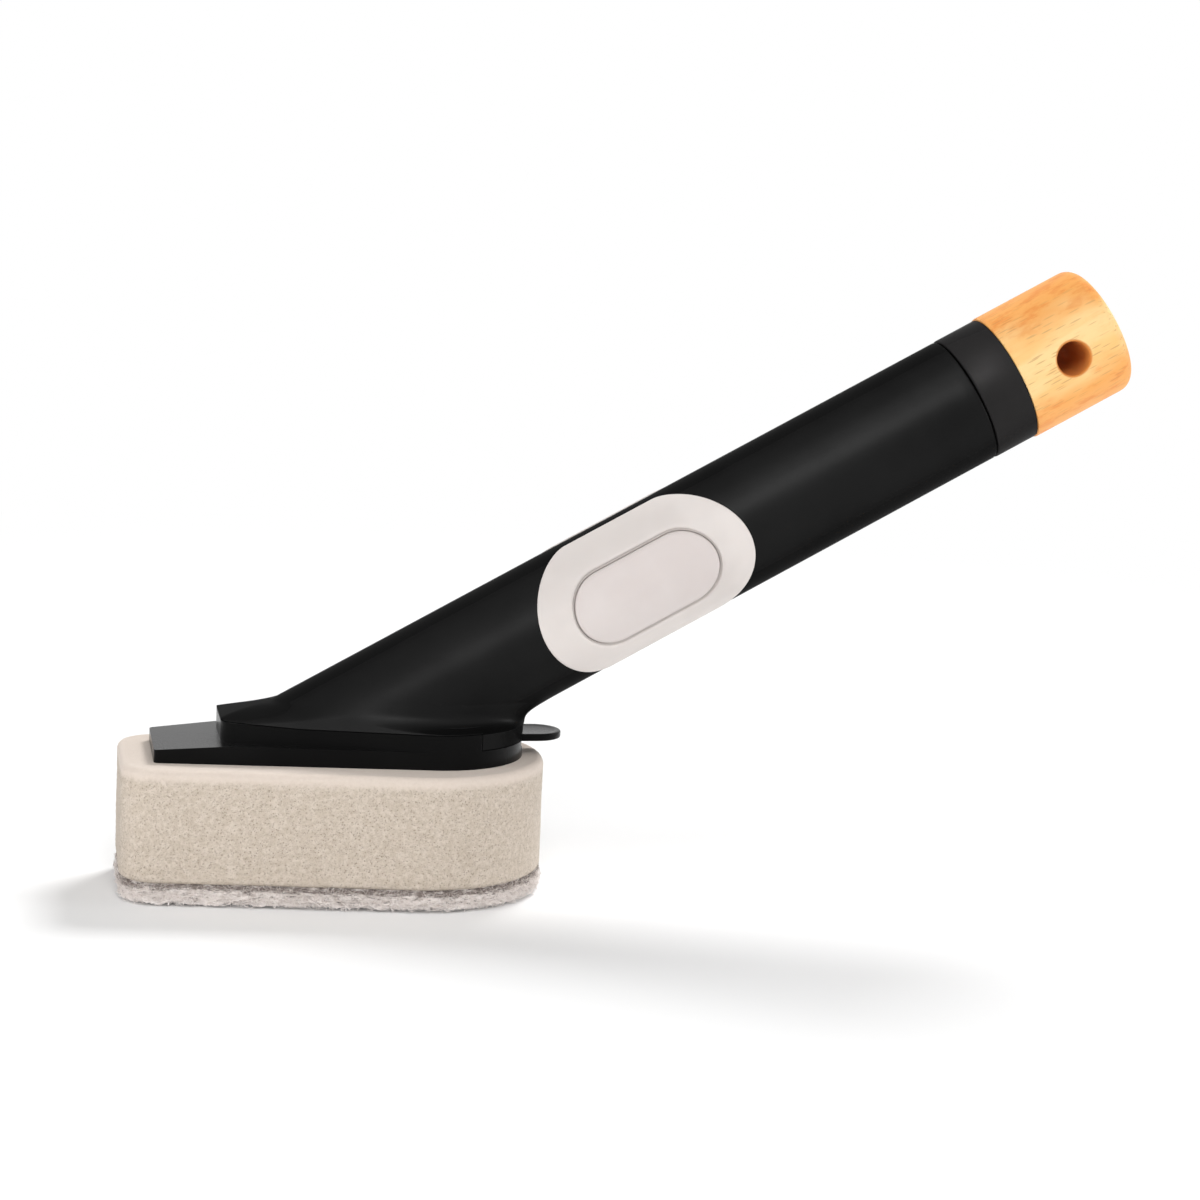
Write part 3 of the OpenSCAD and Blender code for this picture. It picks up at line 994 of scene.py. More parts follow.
class NodeTree:
    """A Geometry Nodes tree with named inputs, built node by node."""

    def __init__(self, name: str) -> None:
        """Starts a tree that takes a mesh and gives one.

        Args:
            name: Name of the tree.
        """
        self.group = bpy.data.node_groups.new(name, "GeometryNodeTree")
        for way in ("INPUT", "OUTPUT"):
            self.group.interface.new_socket("Geometry", in_out=way, socket_type="NodeSocketGeometry")
        self.entry = self.group.nodes.new("NodeGroupInput")
        self.exit = self.group.nodes.new("NodeGroupOutput")

    def number(self, name: str, value: float | int) -> bpy.types.NodeSocket:
        """Adds a named number, whole or not, to the tree's inputs.

        Args:
            name: Name of the input.
            value: Value at which it starts.

        Returns:
            The socket that gives the number to the tree.
        """
        kind = "NodeSocketInt" if isinstance(value, int) else "NodeSocketFloat"
        item = self.group.interface.new_socket(name, in_out="INPUT", socket_type=kind)
        item.default_value = value
        return self.entry.outputs[name]

    def add(self, kind: str, settings: dict[str, Any] | None = None,
            inputs: dict[int | str, Any] | None = None) -> bpy.types.Node:
        """Adds a node to the tree and returns it."""
        return add_node(self.group, kind, settings, inputs)

    def finish(self, shape: bpy.types.NodeSocket, material: bpy.types.Material) -> None:
        """Realizes the instances, sets the material and ends the tree.

        Args:
            shape: What the tree has made.
            material: Its finish.
        """
        real = self.add("GeometryNodeRealizeInstances", None, {"Geometry": shape})
        dressed = self.add("GeometryNodeSetMaterial", None,
                           {"Geometry": real.outputs[0], "Material": material})
        self.group.links.new(dressed.outputs[0], self.exit.inputs[0])

    def run(self, carrier: bpy.types.Object, values: dict[str, float | int]) -> bpy.types.Object:
        """Runs the tree on a carrier mesh and keeps the result as a plain mesh.

        Args:
            carrier: Object whose mesh the tree starts from.
            values: Values of the tree's named inputs.

        Returns:
            The carrier with its new mesh.
        """
        modifier = carrier.modifiers.new(self.group.name, "NODES")
        modifier.node_group = self.group
        for item in self.group.interface.items_tree:
            if item.item_type == "SOCKET" and item.in_out == "INPUT" and item.name in values:
                modifier[item.identifier] = values[item.name]
        return settle(carrier)


class SweptRidge(NodeTree):
    """Sweeps a round bead along the edges of its carrier."""

    def __init__(self, material: bpy.types.Material) -> None:
        """Builds the tree for one finish.

        Args:
            material: The bead's finish.
        """
        super().__init__("swept_ridge")
        radius = self.number("Bead radius", 0.0004)
        path = self.add("GeometryNodeMeshToCurve", None, {0: self.entry.outputs[0]})
        ring = self.add("GeometryNodeCurvePrimitiveCircle", {"mode": "RADIUS"},
                        {"Resolution": 8, "Radius": radius})
        bead = self.add("GeometryNodeCurveToMesh", None,
                        {0: path.outputs[0], 1: ring.outputs[0], "Fill Caps": True})
        self.finish(bead.outputs[0], material)


class StrandMat(NodeTree):
    """Scatters bent fibres over the faces of its carrier, lying along the surface."""

    def __init__(self, material: bpy.types.Material, lean: float) -> None:
        """Builds the tree for one finish.

        Args:
            material: The fibres' finish.
            lean: Largest angle at which a fibre leans out of the surface.
        """
        super().__init__("strand_mat")
        density = self.number("Strands per square metre", 300000.0)
        radius = self.number("Strand radius", 0.00004)
        length = self.number("Strand length", 0.004)
        seed = self.number("Seed", 3)
        spots = self.add("GeometryNodeDistributePointsOnFaces", {"distribute_method": "RANDOM"},
                         {"Mesh": self.entry.outputs[0], "Density": density, "Seed": seed})
        ring = self.add("GeometryNodeCurvePrimitiveCircle", {"mode": "RADIUS"},
                        {"Resolution": 3, "Radius": radius})
        kinds = self.add("GeometryNodeJoinGeometry")
        each = self.add("ShaderNodeCombineXYZ", None, {"X": length, "Y": length, "Z": length})
        bends = (((-0.5, 0, 0), (0.1, 0.35, 0.2), (0.5, 0.05, 0.02)),
                 ((-0.5, 0.1, 0), (0.0, -0.5, 0.28), (0.35, 0.2, 0.22)),
                 ((-0.4, 0, 0), (0.2, 0.1, 0.5), (0.15, -0.3, 0.1)),
                 ((-0.5, 0, 0.05), (0, 0.2, -0.1), (0.6, 0.0, 0.12)))
        for start, middle, end in bends:
            bend = self.add("GeometryNodeCurveQuadraticBezier", None,
                            {"Resolution": 5, "Start": start, "Middle": middle, "End": end})
            scaled = self.add("GeometryNodeTransform", None,
                              {"Geometry": bend.outputs[0], "Scale": each.outputs[0]})
            strand = self.add("GeometryNodeCurveToMesh", None,
                              {0: scaled.outputs[0], 1: ring.outputs[0], "Fill Caps": True})
            unit = self.add("GeometryNodeGeometryToInstance", None, {0: strand.outputs[0]})
            self.group.links.new(unit.outputs[0], kinds.inputs[0])
        most = (lean, lean, 3.14)
        least = tuple(-v for v in most)
        sway = self.add("FunctionNodeRandomValue", {"data_type": "FLOAT_VECTOR"},
                        {0: least, 1: most, "Seed": seed})
        turn = self.add("FunctionNodeRotateRotation", {"rotation_space": "LOCAL"},
                        {0: spots.outputs["Rotation"], 1: sway.outputs[0]})
        grow = self.add("FunctionNodeRandomValue", {"data_type": "FLOAT"},
                        {2: 0.45, 3: 1.25, "Seed": seed})
        mat = self.add("GeometryNodeInstanceOnPoints", None,
                       {"Points": spots.outputs["Points"], "Instance": kinds.outputs[0],
                        "Pick Instance": True, "Rotation": turn.outputs[0], "Scale": grow.outputs[1]})
        self.finish(mat.outputs[0], material)


# The handle


@dataclass(frozen=True)
class FootForm:
    """Surface that turns from the foot's iron outline into the round tube."""

    sizes: WandSizes
    flare_h: float = 5.9
    ramp_h: float = 2.6
    nose_lift: float = 1.4
    heel_fillet: float = 2.0

    def _share(self, angle: float, z: float) -> float:
        """Share of the foot's outline in a section, from 1 at the brim to 0 on the tube.

        Args:
            angle: Direction of the outline's normal.
            z: Height of the section.

        Returns:
            The share.
        """
        front = ((1 - math.cos(angle)) / 2) ** 3
        lift = front * self.nose_lift
        low = self.sizes.split_z + lift
        high = low + (1 - front) * self.flare_h + front * self.ramp_h
        return max(0.0, min(1.0, (high - z) / (high - low))) ** (4.2 - 3.2 * front)

    def _heel_push(self, angle: float, z: float, reach: float, share: float) -> float:
        """Extra push along the normal that fills the corner between heel and tube.

        Args:
            angle: Direction of the outline's normal.
            z: Height of the section.
            reach: Distance from the tube to the brim along the normal.
            share: Share of the foot's outline in the section.

        Returns:
            The push in millimetres.
        """
        heel = ((1 + math.cos(angle)) / 2) ** 5
        top = self.sizes.split_z + self.flare_h
        fade = max(0.0, min(1.0, (top - z) / self.flare_h))
        swell = (reach + math.hypot(reach, self.heel_fillet)) / 2
        return heel * (swell * (1 - (1 - fade) ** 4) - reach * share)

    def ring(self, z: float, columns: int) -> list[Vector]:
        """Makes the level section at one height.

        Args:
            z: Height of the section.
            columns: Number of points.

        Returns:
            The section's points.
        """
        s = self.sizes
        ring = []
        for (run, rise), tube in zip(circle(1.0, columns), s.slant(s.tube_r, z, columns)):
            angle = math.atan2(rise / math.sin(s.tilt), run) % (2 * math.pi)
            out = Vector((math.cos(angle), math.sin(angle)))
            share = self._share(angle, z)
            to_brim = s.foot.point(angle) - tube.xy
            push = self._heel_push(angle, z, to_brim.dot(out), share) if z > s.split_z else 0.0
            spot = tube.xy + to_brim * share + out * push
            ring.append(Vector((spot.x, spot.y, z)))
        return ring

    @property
    def first_tube_s(self) -> float:
        """Place along the axis of the first whole circle of the tube."""
        s = self.sizes
        return (self.flare_h + 0.8 + s.tube_r * math.cos(s.tilt)) / math.sin(s.tilt)


@dataclass(frozen=True)
class PadShape:
    """Stadium outlines wrapped round the tube, and the pad pieces made from them."""

    sizes: WandSizes
    middle_s: float = 67.2
    half_len: float = 26.15
    wrap: float = math.radians(80.6)
    button_half: float = 17.6
    button_half_w: float = 8.65
    groove_w: float = 0.5
    window_gap: float = 0.75
    slit: float = 0.14
    rim_floor: float = 0.9
    rim_crown: float = 0.22
    rim_edge: float = 0.5
    lip: float = 1.0
    lip_drop: float = 0.4
    groove_drop: float = 0.3
    button_floor: float = 1.5
    button_edge: float = 1.0
    button_crown: float = 0.2
    skirt: float = 0.4

    def ring(self, half_len: float, angle: float, r: float, side: Side) -> list[Vector]:
        """Makes one stadium ring on the tube.

        Args:
            half_len: Half of its length along the axis.
            angle: Half of the angle that it wraps.
            r: Distance from the axis.
            side: Side of the handle.

        Returns:
            The ring's points.
        """
        half_w = self.sizes.tube_r * math.sin(angle)
        straight = max(half_len - half_w, 0.0)
        end_steps, side_steps = 72, 28
        marks = []
        for way in (1, -1):
            marks += [(way * (straight + half_w * math.sin(f)), way * half_w * math.cos(f))
                      for f in (math.pi * k / end_steps for k in range(end_steps + 1))]
            marks += [(way * (straight - 2 * straight * k / side_steps), -way * half_w)
                      for k in range(1, side_steps)]
        points = []
        for along, across in marks:
            a = math.asin(max(-1.0, min(1.0, across / self.sizes.tube_r)))
            points.append(self.sizes.on_axis(r * math.sin(a), side.value * r * math.cos(a),
                                             self.middle_s + along))
        return points

    def _angle(self, half_w: float) -> float:
        """Angle on the tube that a half width covers."""
        return math.asin(half_w / self.sizes.tube_r)

    def _tool(self, name: str, spans: Sequence[tuple[float, float]], low: float, high: float,
              side: Side) -> bpy.types.Object:
        """Makes a cutting tool between two distances from the axis.

        Args:
            name: Name of the tool.
            spans: Half length and half angle of nested stadiums, the smallest first.
            low: Distance of its floor from the axis.
            high: Distance of its roof from the axis.
            side: Side of the handle.

        Returns:
            The cutting tool.
        """
        rings = [self.ring(half_len, angle, low, side) for half_len, angle in spans]
        rings += [self.ring(half_len, angle, high, side) for half_len, angle in reversed(spans)]
        return skin(name, rings)

    def pocket(self, side: Side) -> bpy.types.Object:
        """Makes the tool that cuts the rim's pocket.

        Args:
            side: Side of the handle.

        Returns:
            The cutting tool.
        """
        floor_r, inner_len, inner_angle, steps = self.sizes.tube_r - self.rim_floor, 8.0, 0.02, 14
        spans = [(inner_len + (self.half_len - inner_len) * k / steps,
                  inner_angle + (self.wrap - inner_angle) * k / steps) for k in range(steps + 1)]
        return self._tool("pad_pocket", spans, floor_r, floor_r + 4, side)

    def window(self, side: Side) -> bpy.types.Object:
        """Makes the tool that cuts the button's window through the wall.

        Args:
            side: Side of the handle.

        Returns:
            The cutting tool.
        """
        half, half_w = self.button_half + self.window_gap, self.button_half_w + self.window_gap
        spans = [(half - half_w * (1 - share), self._angle(half_w * max(share, 0.01)))
                 for share in (k / 8 for k in range(9))]
        return self._tool("pad_window", spans, self.sizes.tube_r - 4, self.sizes.tube_r + 3, side)

    def rim(self, side: Side) -> bpy.types.Object:
        """Makes the rim: a soft outer edge, a raised lip and the groove round the button.

        Args:
            side: Side of the handle.

        Returns:
            The rim.
        """
        r = self.sizes.tube_r
        top, low, sunk = r + self.rim_crown, r - self.rim_floor + 0.02, 0.1
        hole_len, hole_a = self.button_half + self.slit, self._angle(self.button_half_w + self.slit)
        groove_len = self.button_half + self.groove_w
        groove_a = self._angle(self.button_half_w + self.groove_w)
        floor_steps, crown_steps = 10, 18
        rows = [(hole_len + (self.half_len - hole_len) * k / floor_steps,
                 hole_a + (self.wrap - hole_a) * k / floor_steps, low) for k in range(floor_steps + 1)]
        rows += [(self.half_len - self.rim_edge * away, self.wrap - self.rim_edge * away / r,
                  r - sunk + (self.rim_crown + sunk) * up) for away, up in quarter(6, 0)]
        crown_len, crown_a = self.half_len - self.rim_edge, self.wrap - self.rim_edge / r
        rows += [(crown_len - (crown_len - groove_len - self.lip) * k / crown_steps,
                  crown_a - (crown_a - groove_a - self.lip / r) * k / crown_steps, top)
                 for k in range(1, crown_steps + 1)]
        rows += [(groove_len + self.lip * (1 - along), groove_a + self.lip * (1 - along) / r,
                  top - self.lip_drop * down) for down, along in quarter(8)]
        web = self.groove_w - self.slit
        rows += [(groove_len - web * away, groove_a - web * away / r,
                  top - self.lip_drop - self.groove_drop * down) for away, down in quarter(8)]
        rows += [(hole_len, hole_a, top - 0.8), (hole_len, hole_a, low)]
        rings = [self.ring(length, angle, radius, side) for length, angle, radius in rows]
        return skin("pad_rim", rings, Ends.JOINED)

    def button(self, side: Side) -> bpy.types.Object:
        """Makes the button with its soft edge and the hidden skirt under the rim.

        Args:
            side: Side of the handle.

        Returns:
            The button.
        """
        top = self.sizes.tube_r + self.button_crown
        low, edge_rise = self.sizes.tube_r - self.button_floor, 0.8
        rows = [(-self.button_half_w * (1 - share), low) for share in (0.02, 0.2, 0.4, 0.6, 0.8)]
        rows += [(0.0, low), (self.skirt, low), (self.skirt, low + 0.5), (0.0, low + 0.55),
                 (0.0, top - edge_rise)]
        rows += [(-self.button_edge * away, top - edge_rise * (1 - up)) for away, up in quarter(12)]
        rows += [(-self.button_half_w * share, top + 0.05 * share)
                 for share in (0.2, 0.35, 0.5, 0.65, 0.8, 0.98)]
        rings = [self.ring(self.button_half + grow, self._angle(max(self.button_half_w + grow, 0.05)),
                           radius, side) for grow, radius in rows]
        return skin("pad_button", rings)


@dataclass
class Handle:
    """Handle with its foot, sole, valve and squeeze pads."""

    sizes: WandSizes
    plastic: bpy.types.Material
    hidden: bpy.types.Material
    silicone: bpy.types.Material
    button: bpy.types.Material
    columns: int = 288
    sole_inset: float = 3.0
    hollow_inset: float = 1.8
    channel_half: float = 6.5

    def _outside(self) -> bpy.types.Object:
        """Makes the outer form of foot and tube as one solid.

        Returns:
            The solid.
        """
        s = self.sizes
        form = FootForm(s)
        heights = [s.flange_top + s.part_gap, 36.0, 37.6, s.split_z + 0.02]
        heights += [s.split_z + 0.05 + (form.flare_h - 0.05) * (k / 30) ** 1.15 for k in range(31)]
        rings = [form.ring(z, self.columns) for z in heights]
        start = form.first_tube_s
        level, square = rings[-1], s.tube_ring(s.tube_r, start, self.columns)
        rings += [[a.lerp(b, (k / 14) ** 1.6) for a, b in zip(level, square)] for k in range(1, 14)]
        rows = [(s.tube_r, start + (s.seam_s - 0.4 - start) * k / 40) for k in range(41)]
        rows += [(s.tube_r - 0.05, s.seam_s - 0.18), (s.tube_r - 0.18, s.seam_s - 0.05),
                 (s.tube_r - 0.38, s.seam_s)]
        rings += [s.tube_ring(r, at, self.columns) for r, at in rows]
        return skin("handle_moulding", rings)

    def _socket(self) -> bpy.types.Object:
        """Makes the tool that clears the head's socket below the parting line.

        Returns:
            The cutting tool.
        """
        line = self.sizes.parting(self.sizes.part_gap)
        end_x = self.sizes.socket_end_x + self.sizes.part_gap
        rear, front = line[0][1], line[-1][1]
        return prism("socket", [(-FAR, 0), (end_x, 0), (end_x, rear), *line, (-FAR, front)], FAR)

    def _bore(self) -> bpy.types.Object:
        """Makes the tool that cuts the soap bore, flat at the sole.

        Returns:
            The cutting tool.
        """
        s = self.sizes
        rings = [s.slant(s.bore_r, s.split_z + 0.6, self.columns)]
        rings += [s.tube_ring(s.bore_r, at, self.columns) for at in (40, 70, 100, 130, 150, 170)]
        return skin("bore", rings)

    def shell(self) -> bpy.types.Object:
        """Makes the handle's moulding.

        Returns:
            The finished shell.
        """
        s = self.sizes
        piece = self._outside()
        pads = PadShape(s)
        seat = carve(slab("sole_seat", s.foot, self.sole_inset, s.split_z - 1, s.split_z + 1.1),
                     Operation.KEEP, box("sole_limit", (s.bend_x, -FAR, 0), (FAR, FAR, FAR)))
        carve(piece, Operation.CUT, self._socket(),
              slab("hollow", s.foot, self.hollow_inset, 0, s.split_z), seat, self._bore(),
              *(tool(side) for side in Side for tool in (pads.pocket, pads.window)),
              box("tab_channel", (s.foot.heel_x, -self.channel_half, 0),
                  (FAR, self.channel_half, s.tab_top + s.slide_gap)))
        return fix(piece, self.plastic, Fixing("handle", "shell", ("handle_shell",)))

    def threads(self) -> bpy.types.Object:
        """Makes the thread ridge inside the handle's mouth.

        Returns:
            The finished ridge.
        """
        s = self.sizes
        ridge = thread_path("mouth_thread", s, r=s.bore_r + 0.22, start_s=s.seam_s - 9.4,
                            start=0.0, turns=1.6)
        SweptRidge(self.plastic).run(ridge, {"Bead radius": 0.4 * MM})
        return fix(ridge, self.plastic, Fixing("handle", "shell"))

    def pads(self) -> None:
        """Makes both squeeze pads, rim and button."""
        shape = PadShape(self.sizes)
        for side in Side:
            label = side.name.lower()
            rim = shape.rim(side)
            rim.name = f"{label}_pad_skirt"
            fix(rim, self.silicone, Fixing("handle", "silicone", (f"{label}_pad_rim",), smooth=50))
            button = shape.button(side)
            button.name = f"{label}_pad_press"
            fix(button, self.button,
                Fixing(f"{label}_button", "button", (f"{label}_pad_button",), smooth=50))

    def inner(self, nodes: dict[str, bpy.types.Object]) -> None:
        """Gives the sole and the valve's pieces their finishes.

        Args:
            nodes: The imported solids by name.
        """
        for name in ("foot_sole", "valve_retainer"):
            dress(nodes[name], self.hidden)
        for name in ("dosing_valve", "outlet_seal"):
            dress(nodes[name], self.silicone)


def thread_path(name: str, sizes: WandSizes, r: float, start_s: float, start: float,
                turns: float) -> bpy.types.Object:
    """Makes the path of a thread ridge that runs out at both ends.

    Args:
        name: Name of the object.
        sizes: Sizes of the wand.
        r: Radius of the path.
        start_s: Place along the axis where it starts.
        start: Turn at which it starts, as a share of a full turn.
        turns: Number of turns.

    Returns:
        A line of edges.
    """
    pitch, steps = 4.0, round(72 * turns)
    points = []
    for k in range(steps + 1):
        turn = turns * k / steps
        angle = 2 * math.pi * (start + turn)
        spot = sizes.on_axis(r * math.cos(angle), r * math.sin(angle), start_s + pitch * turn)
        points.append(tuple(spot * MM))
    mesh = bpy.data.meshes.new(name)
    mesh.from_pydata(points, [(k, k + 1) for k in range(steps)], [])
    return link(name, mesh)


# The cap


@dataclass
class Cap:
    """Screw cap: collar with spigot and plug, the wooden knob, its screw and the sealing ring."""

    sizes: WandSizes
    plastic: bpy.types.Material
    beech: bpy.types.Material
    steel: bpy.types.Material
    rubber: bpy.types.Material
    wall: float = 1.2
    step: float = 0.1
    spigot_len: float = 10.5
    plug_r: float = 12.9
    plug_len: float = 5.5
    knob_r: float = 15.4
    knob_round: float = 3.2
    screw_r: float = 1.35

    def collar(self) -> bpy.types.Object:
        """Makes the collar as one turned moulding.

        Returns:
            The finished collar.
        """
        s, w = self.sizes, self.wall
        outer, spigot = s.tube_r + self.step, s.bore_r - s.slide_gap - 0.05
        low, collar_s = s.seam_s - self.spigot_len, s.seam_s + s.seam_gap
        plug_s, seal_s = s.wood_s + self.plug_len, s.seam_s - 3
        seal_r = s.bore_r - 0.9
        profile = [(self.screw_r, plug_s - w), (self.plug_r - w, plug_s - w),
                   (self.plug_r - w, s.wood_s - w),
                   (outer - w, s.wood_s - w), (outer - w, collar_s + 2), (spigot - w, collar_s + 2),
                   (spigot - w, low), (spigot - 0.6, low), (spigot, low + 0.6), (spigot, seal_s - 0.5),
                   (seal_r, seal_s - 0.5), (seal_r, seal_s + 0.5), (spigot, seal_s + 0.5),
                   (spigot, collar_s), (outer - 0.45, collar_s), (outer - 0.2, collar_s + 0.05),
                   (outer - 0.06, collar_s + 0.18), (outer, collar_s + 0.42),
                   (outer, s.wood_s - 0.22), (outer - 0.06, s.wood_s - 0.06),
                   (outer - 0.22, s.wood_s), (self.plug_r, s.wood_s), (self.plug_r, plug_s),
                   (self.screw_r, plug_s)]
        piece = turned("cap_moulding", profile, s.on_axis, 192, Ends.JOINED)
        return fix(piece, self.plastic, Fixing("cap", "collar", ("cap_collar",)))

    def thread(self) -> bpy.types.Object:
        """Makes the thread ridge on the spigot.

        Returns:
            The finished ridge.
        """
        s = self.sizes
        ridge = thread_path("spigot_thread", s, r=s.bore_r - s.slide_gap - 0.2,
                            start_s=s.seam_s - 9.6, start=0.5, turns=1.25)
        SweptRidge(self.plastic).run(ridge, {"Bead radius": 0.34 * MM})
        return fix(ridge, self.plastic, Fixing("cap", "collar"))

    def knob(self) -> bpy.types.Object:
        """Makes the turned knob with its eased hanging hole.

        Returns:
            The finished knob.
        """
        s, r, soft, dome = self.sizes, self.knob_r, self.knob_round, 0.35
        socket_r, pilot_r, pilot_len = self.plug_r + 0.1, 1.2, 8.2
        end, plug_s, side_s = s.wood_s + s.knob_len, s.wood_s + self.plug_len, s.wood_s + 0.5
        profile = [(0.0, s.wood_s + pilot_len), (pilot_r, s.wood_s + pilot_len), (pilot_r, plug_s),
                   (socket_r, plug_s), (socket_r, s.wood_s + 0.02), (r - 0.45, s.wood_s + 0.02),
                   (r - 0.12, s.wood_s + 0.14), (r, side_s)]
        profile += [(r, side_s + (end - soft - side_s) * k / 10) for k in range(1, 10)]
        profile += [(r - soft * away, end - soft - dome + soft * along) for away, along in quarter(14, 0)]
        profile += [((r - soft) * t, end - dome * t * t) for t in (0.8, 0.6, 0.4, 0.2, 0.0)]
        piece = turned("beech_knob", profile, s.on_axis, 192)
        carve(piece, Operation.CUT, self._hole())
        return fix(piece, self.beech, Fixing("cap", "beech", ("wooden_knob",)))

    def _hole(self) -> bpy.types.Object:
        """Makes the tool for the hanging hole, flared where it meets the wood's surface.

        Returns:
            The cutting tool.
        """
        s, straight, flare, flare_len = self.sizes, 14.5, 0.4, 0.7
        at = s.wood_s + s.hole_s
        half = [(s.hole_r, 0.0), (s.hole_r, straight)]
        half += [(s.hole_r + flare * away, straight + flare_len * along) for away, along in quarter(6)]
        half += [(s.hole_r + 1.2, straight + 3)]
        profile = [(r, -y) for r, y in reversed(half)] + half[1:]
        return turned("hanging_hole", profile, lambda x, z, y: s.on_axis(x, y, at + z), 96)

    def inner(self, nodes: dict[str, bpy.types.Object]) -> None:
        """Gives the screw and the sealing ring their finishes."""
        dress(nodes["knob_screw"], self.steel)
        dress(nodes["cap_seal"], self.rubber)


# The head


@dataclass
class Head:
    """Head carriage with its scraper ledge, release tab, foam and scour pad."""

    sizes: WandSizes
    plastic: bpy.types.Material
    foam: bpy.types.Material
    scour: bpy.types.Material
    strand: bpy.types.Material
    ledge: Iron = Iron(front=-40.7, half=12.0, corner=1.0, heel_x=23.2, heel_r=19.8)
    sponge: Iron = Iron(front=-48.0, half=19.5, corner=8.7, heel_x=20.0, heel_r=28.0)
    ledge_tip: float = 2.9
    wall: float = 1.8
    lip_reach: float = 0.8
    lip_h: float = 1.2
    tab_root: float = 24.0
    tab_end: float = 52.0
    tab_t: float = 1.65
    tab_block: float = 3.4
    feed_r: float = 2.0
    flow_r: float = 5.0
    flow_outer: float = 6.1

    def _flange(self) -> bpy.types.Object:
        """Makes the flange with the scraper ledge that thins towards its tip.

        Returns:
            The flange.
        """
        s = self.sizes
        tip, nose = s.sponge_top + self.ledge_tip, s.foot.front
        slope = prism("ledge_slope", [(-FAR, tip), (self.ledge.front, tip), (nose, s.flange_top),
                                      (nose, FAR), (-FAR, FAR)], FAR)
        plate = slab("carriage_moulding", self.ledge, 0, s.sponge_top, s.flange_top, 0.5)
        return carve(plate, Operation.CUT, slope)

    def _walls(self) -> bpy.types.Object:
        """Makes the socket's walls with their lips, stepped down behind and raised at the nose.

        Returns:
            The walls.
        """
        s, foot = self.sizes, self.sizes.foot
        top = s.split_z + s.nose_rise
        walls = slab("socket_walls", foot, 0, s.flange_top - 0.5, top, 0.5)
        above = prism("above_walls", [(-FAR, top), *reversed(s.parting()), (s.socket_end_x, s.split_z),
                                      (s.socket_end_x, 0), (FAR, 0), (FAR, FAR), (-FAR, FAR)], FAR)
        carve(walls, Operation.CUT, above,
              slab("under_lip", foot, self.wall, s.flange_top - 1, s.split_z - self.lip_h, 0.5),
              slab("lip_mouth", foot, self.wall + self.lip_reach, s.flange_top, s.split_z + 0.01,
                   0.5),
              slab("over_lip", foot, self.wall, s.split_z, top + 1, 0.5))
        return walls

    def carriage(self) -> bpy.types.Object:
        """Makes the carriage: flange, walls, flow collar and the tab's root.

        Returns:
            The finished carriage.
        """
        s = self.sizes
        half, slot, seat_z = s.tab_w / 2, s.tab_w / 2 + 0.4, s.flange_top - 0.5
        block = box("tab_block", (self.tab_root - self.tab_block, -half, seat_z),
                    (self.tab_root, half, s.tab_top))
        piece = carve(self._flange(), Operation.ADD, self._walls(),
                      self._upright(self.flow_outer, seat_z, s.tab_top), block)
        carve(piece, Operation.CUT, self._upright(self.flow_r, s.flange_top, FAR),
              self._upright(self.feed_r, 0, FAR),
              box("tab_slot", (self.tab_root, -slot, s.flange_top - 2.5), (FAR, slot, FAR)),
              self._hinge_bar("hinge_groove", self.tab_t / 2 + 0.08, slot + 0.01))
        return fix(piece, self.plastic, Fixing("head", "carriage", ("head_carriage",)))

    def _upright(self, r: float, low: float, high: float) -> bpy.types.Object:
        """Makes an upright round bar over the outlet."""
        return turned("round_bar", [(r, low), (r, high)],
                      lambda x, y, z: Vector((self.sizes.outlet_x + x, y, z)), 64)

    def _hinge_bar(self, name: str, r: float, half: float) -> bpy.types.Object:
        """Makes a round bar along the tab's hinge line."""
        root_z = self.sizes.tab_top - self.tab_t / 2
        return turned(name, [(r, -half), (r, half)],
                      lambda x, z, y: Vector((self.tab_root + x, y, root_z + z)), 32)

    def tab(self) -> bpy.types.Object:
        """Makes the release tab with its round end, its root and a thumb dish.

        Returns:
            The finished tab.
        """
        top, low, soft = self.sizes.tab_top, self.sizes.tab_top - self.tab_t, 0.4
        rows = [(soft, low), (soft * 0.3, low + soft * 0.3), (0, low + soft), (0, top - soft),
                (soft * 0.08, top - soft * 0.6), (soft * 0.3, top - soft * 0.3),
                (soft * 0.62, top - soft * 0.08), (soft, top), (1.1, top), (1.5, top - 0.1),
                (2.1, top - 0.18)]
        piece = skin("thumb_tab", [self._tab_level(inset, z) for inset, z in rows])
        carve(piece, Operation.ADD, self._hinge_bar("tab_root", self.tab_t / 2, self.sizes.tab_w / 2))
        return fix(piece, self.plastic, Fixing("tab", "carriage", ("release_tab",), smooth=40))

    def _tab_level(self, inset: float, z: float) -> list[Vector]:
        """Makes the tab's outline at one height, drawn in at the round end and the sides.

        Args:
            inset: Distance that the outline is drawn in.
            z: Height of the outline.

        Returns:
            The outline's points.
        """
        half, side_steps, end_steps = self.sizes.tab_w / 2, 12, 48
        end = self.tab_end - half
        run = [self.tab_root + (end - self.tab_root) * k / side_steps for k in range(side_steps)]
        ring = [Vector((x, inset - half, z)) for x in run]
        for angle in (math.pi * k / end_steps for k in range(end_steps + 1)):
            reach = half - inset
            ring.append(Vector((end + reach * math.sin(angle), -reach * math.cos(angle), z)))
        return ring + [Vector((x, half - inset, z)) for x in reversed(run)]

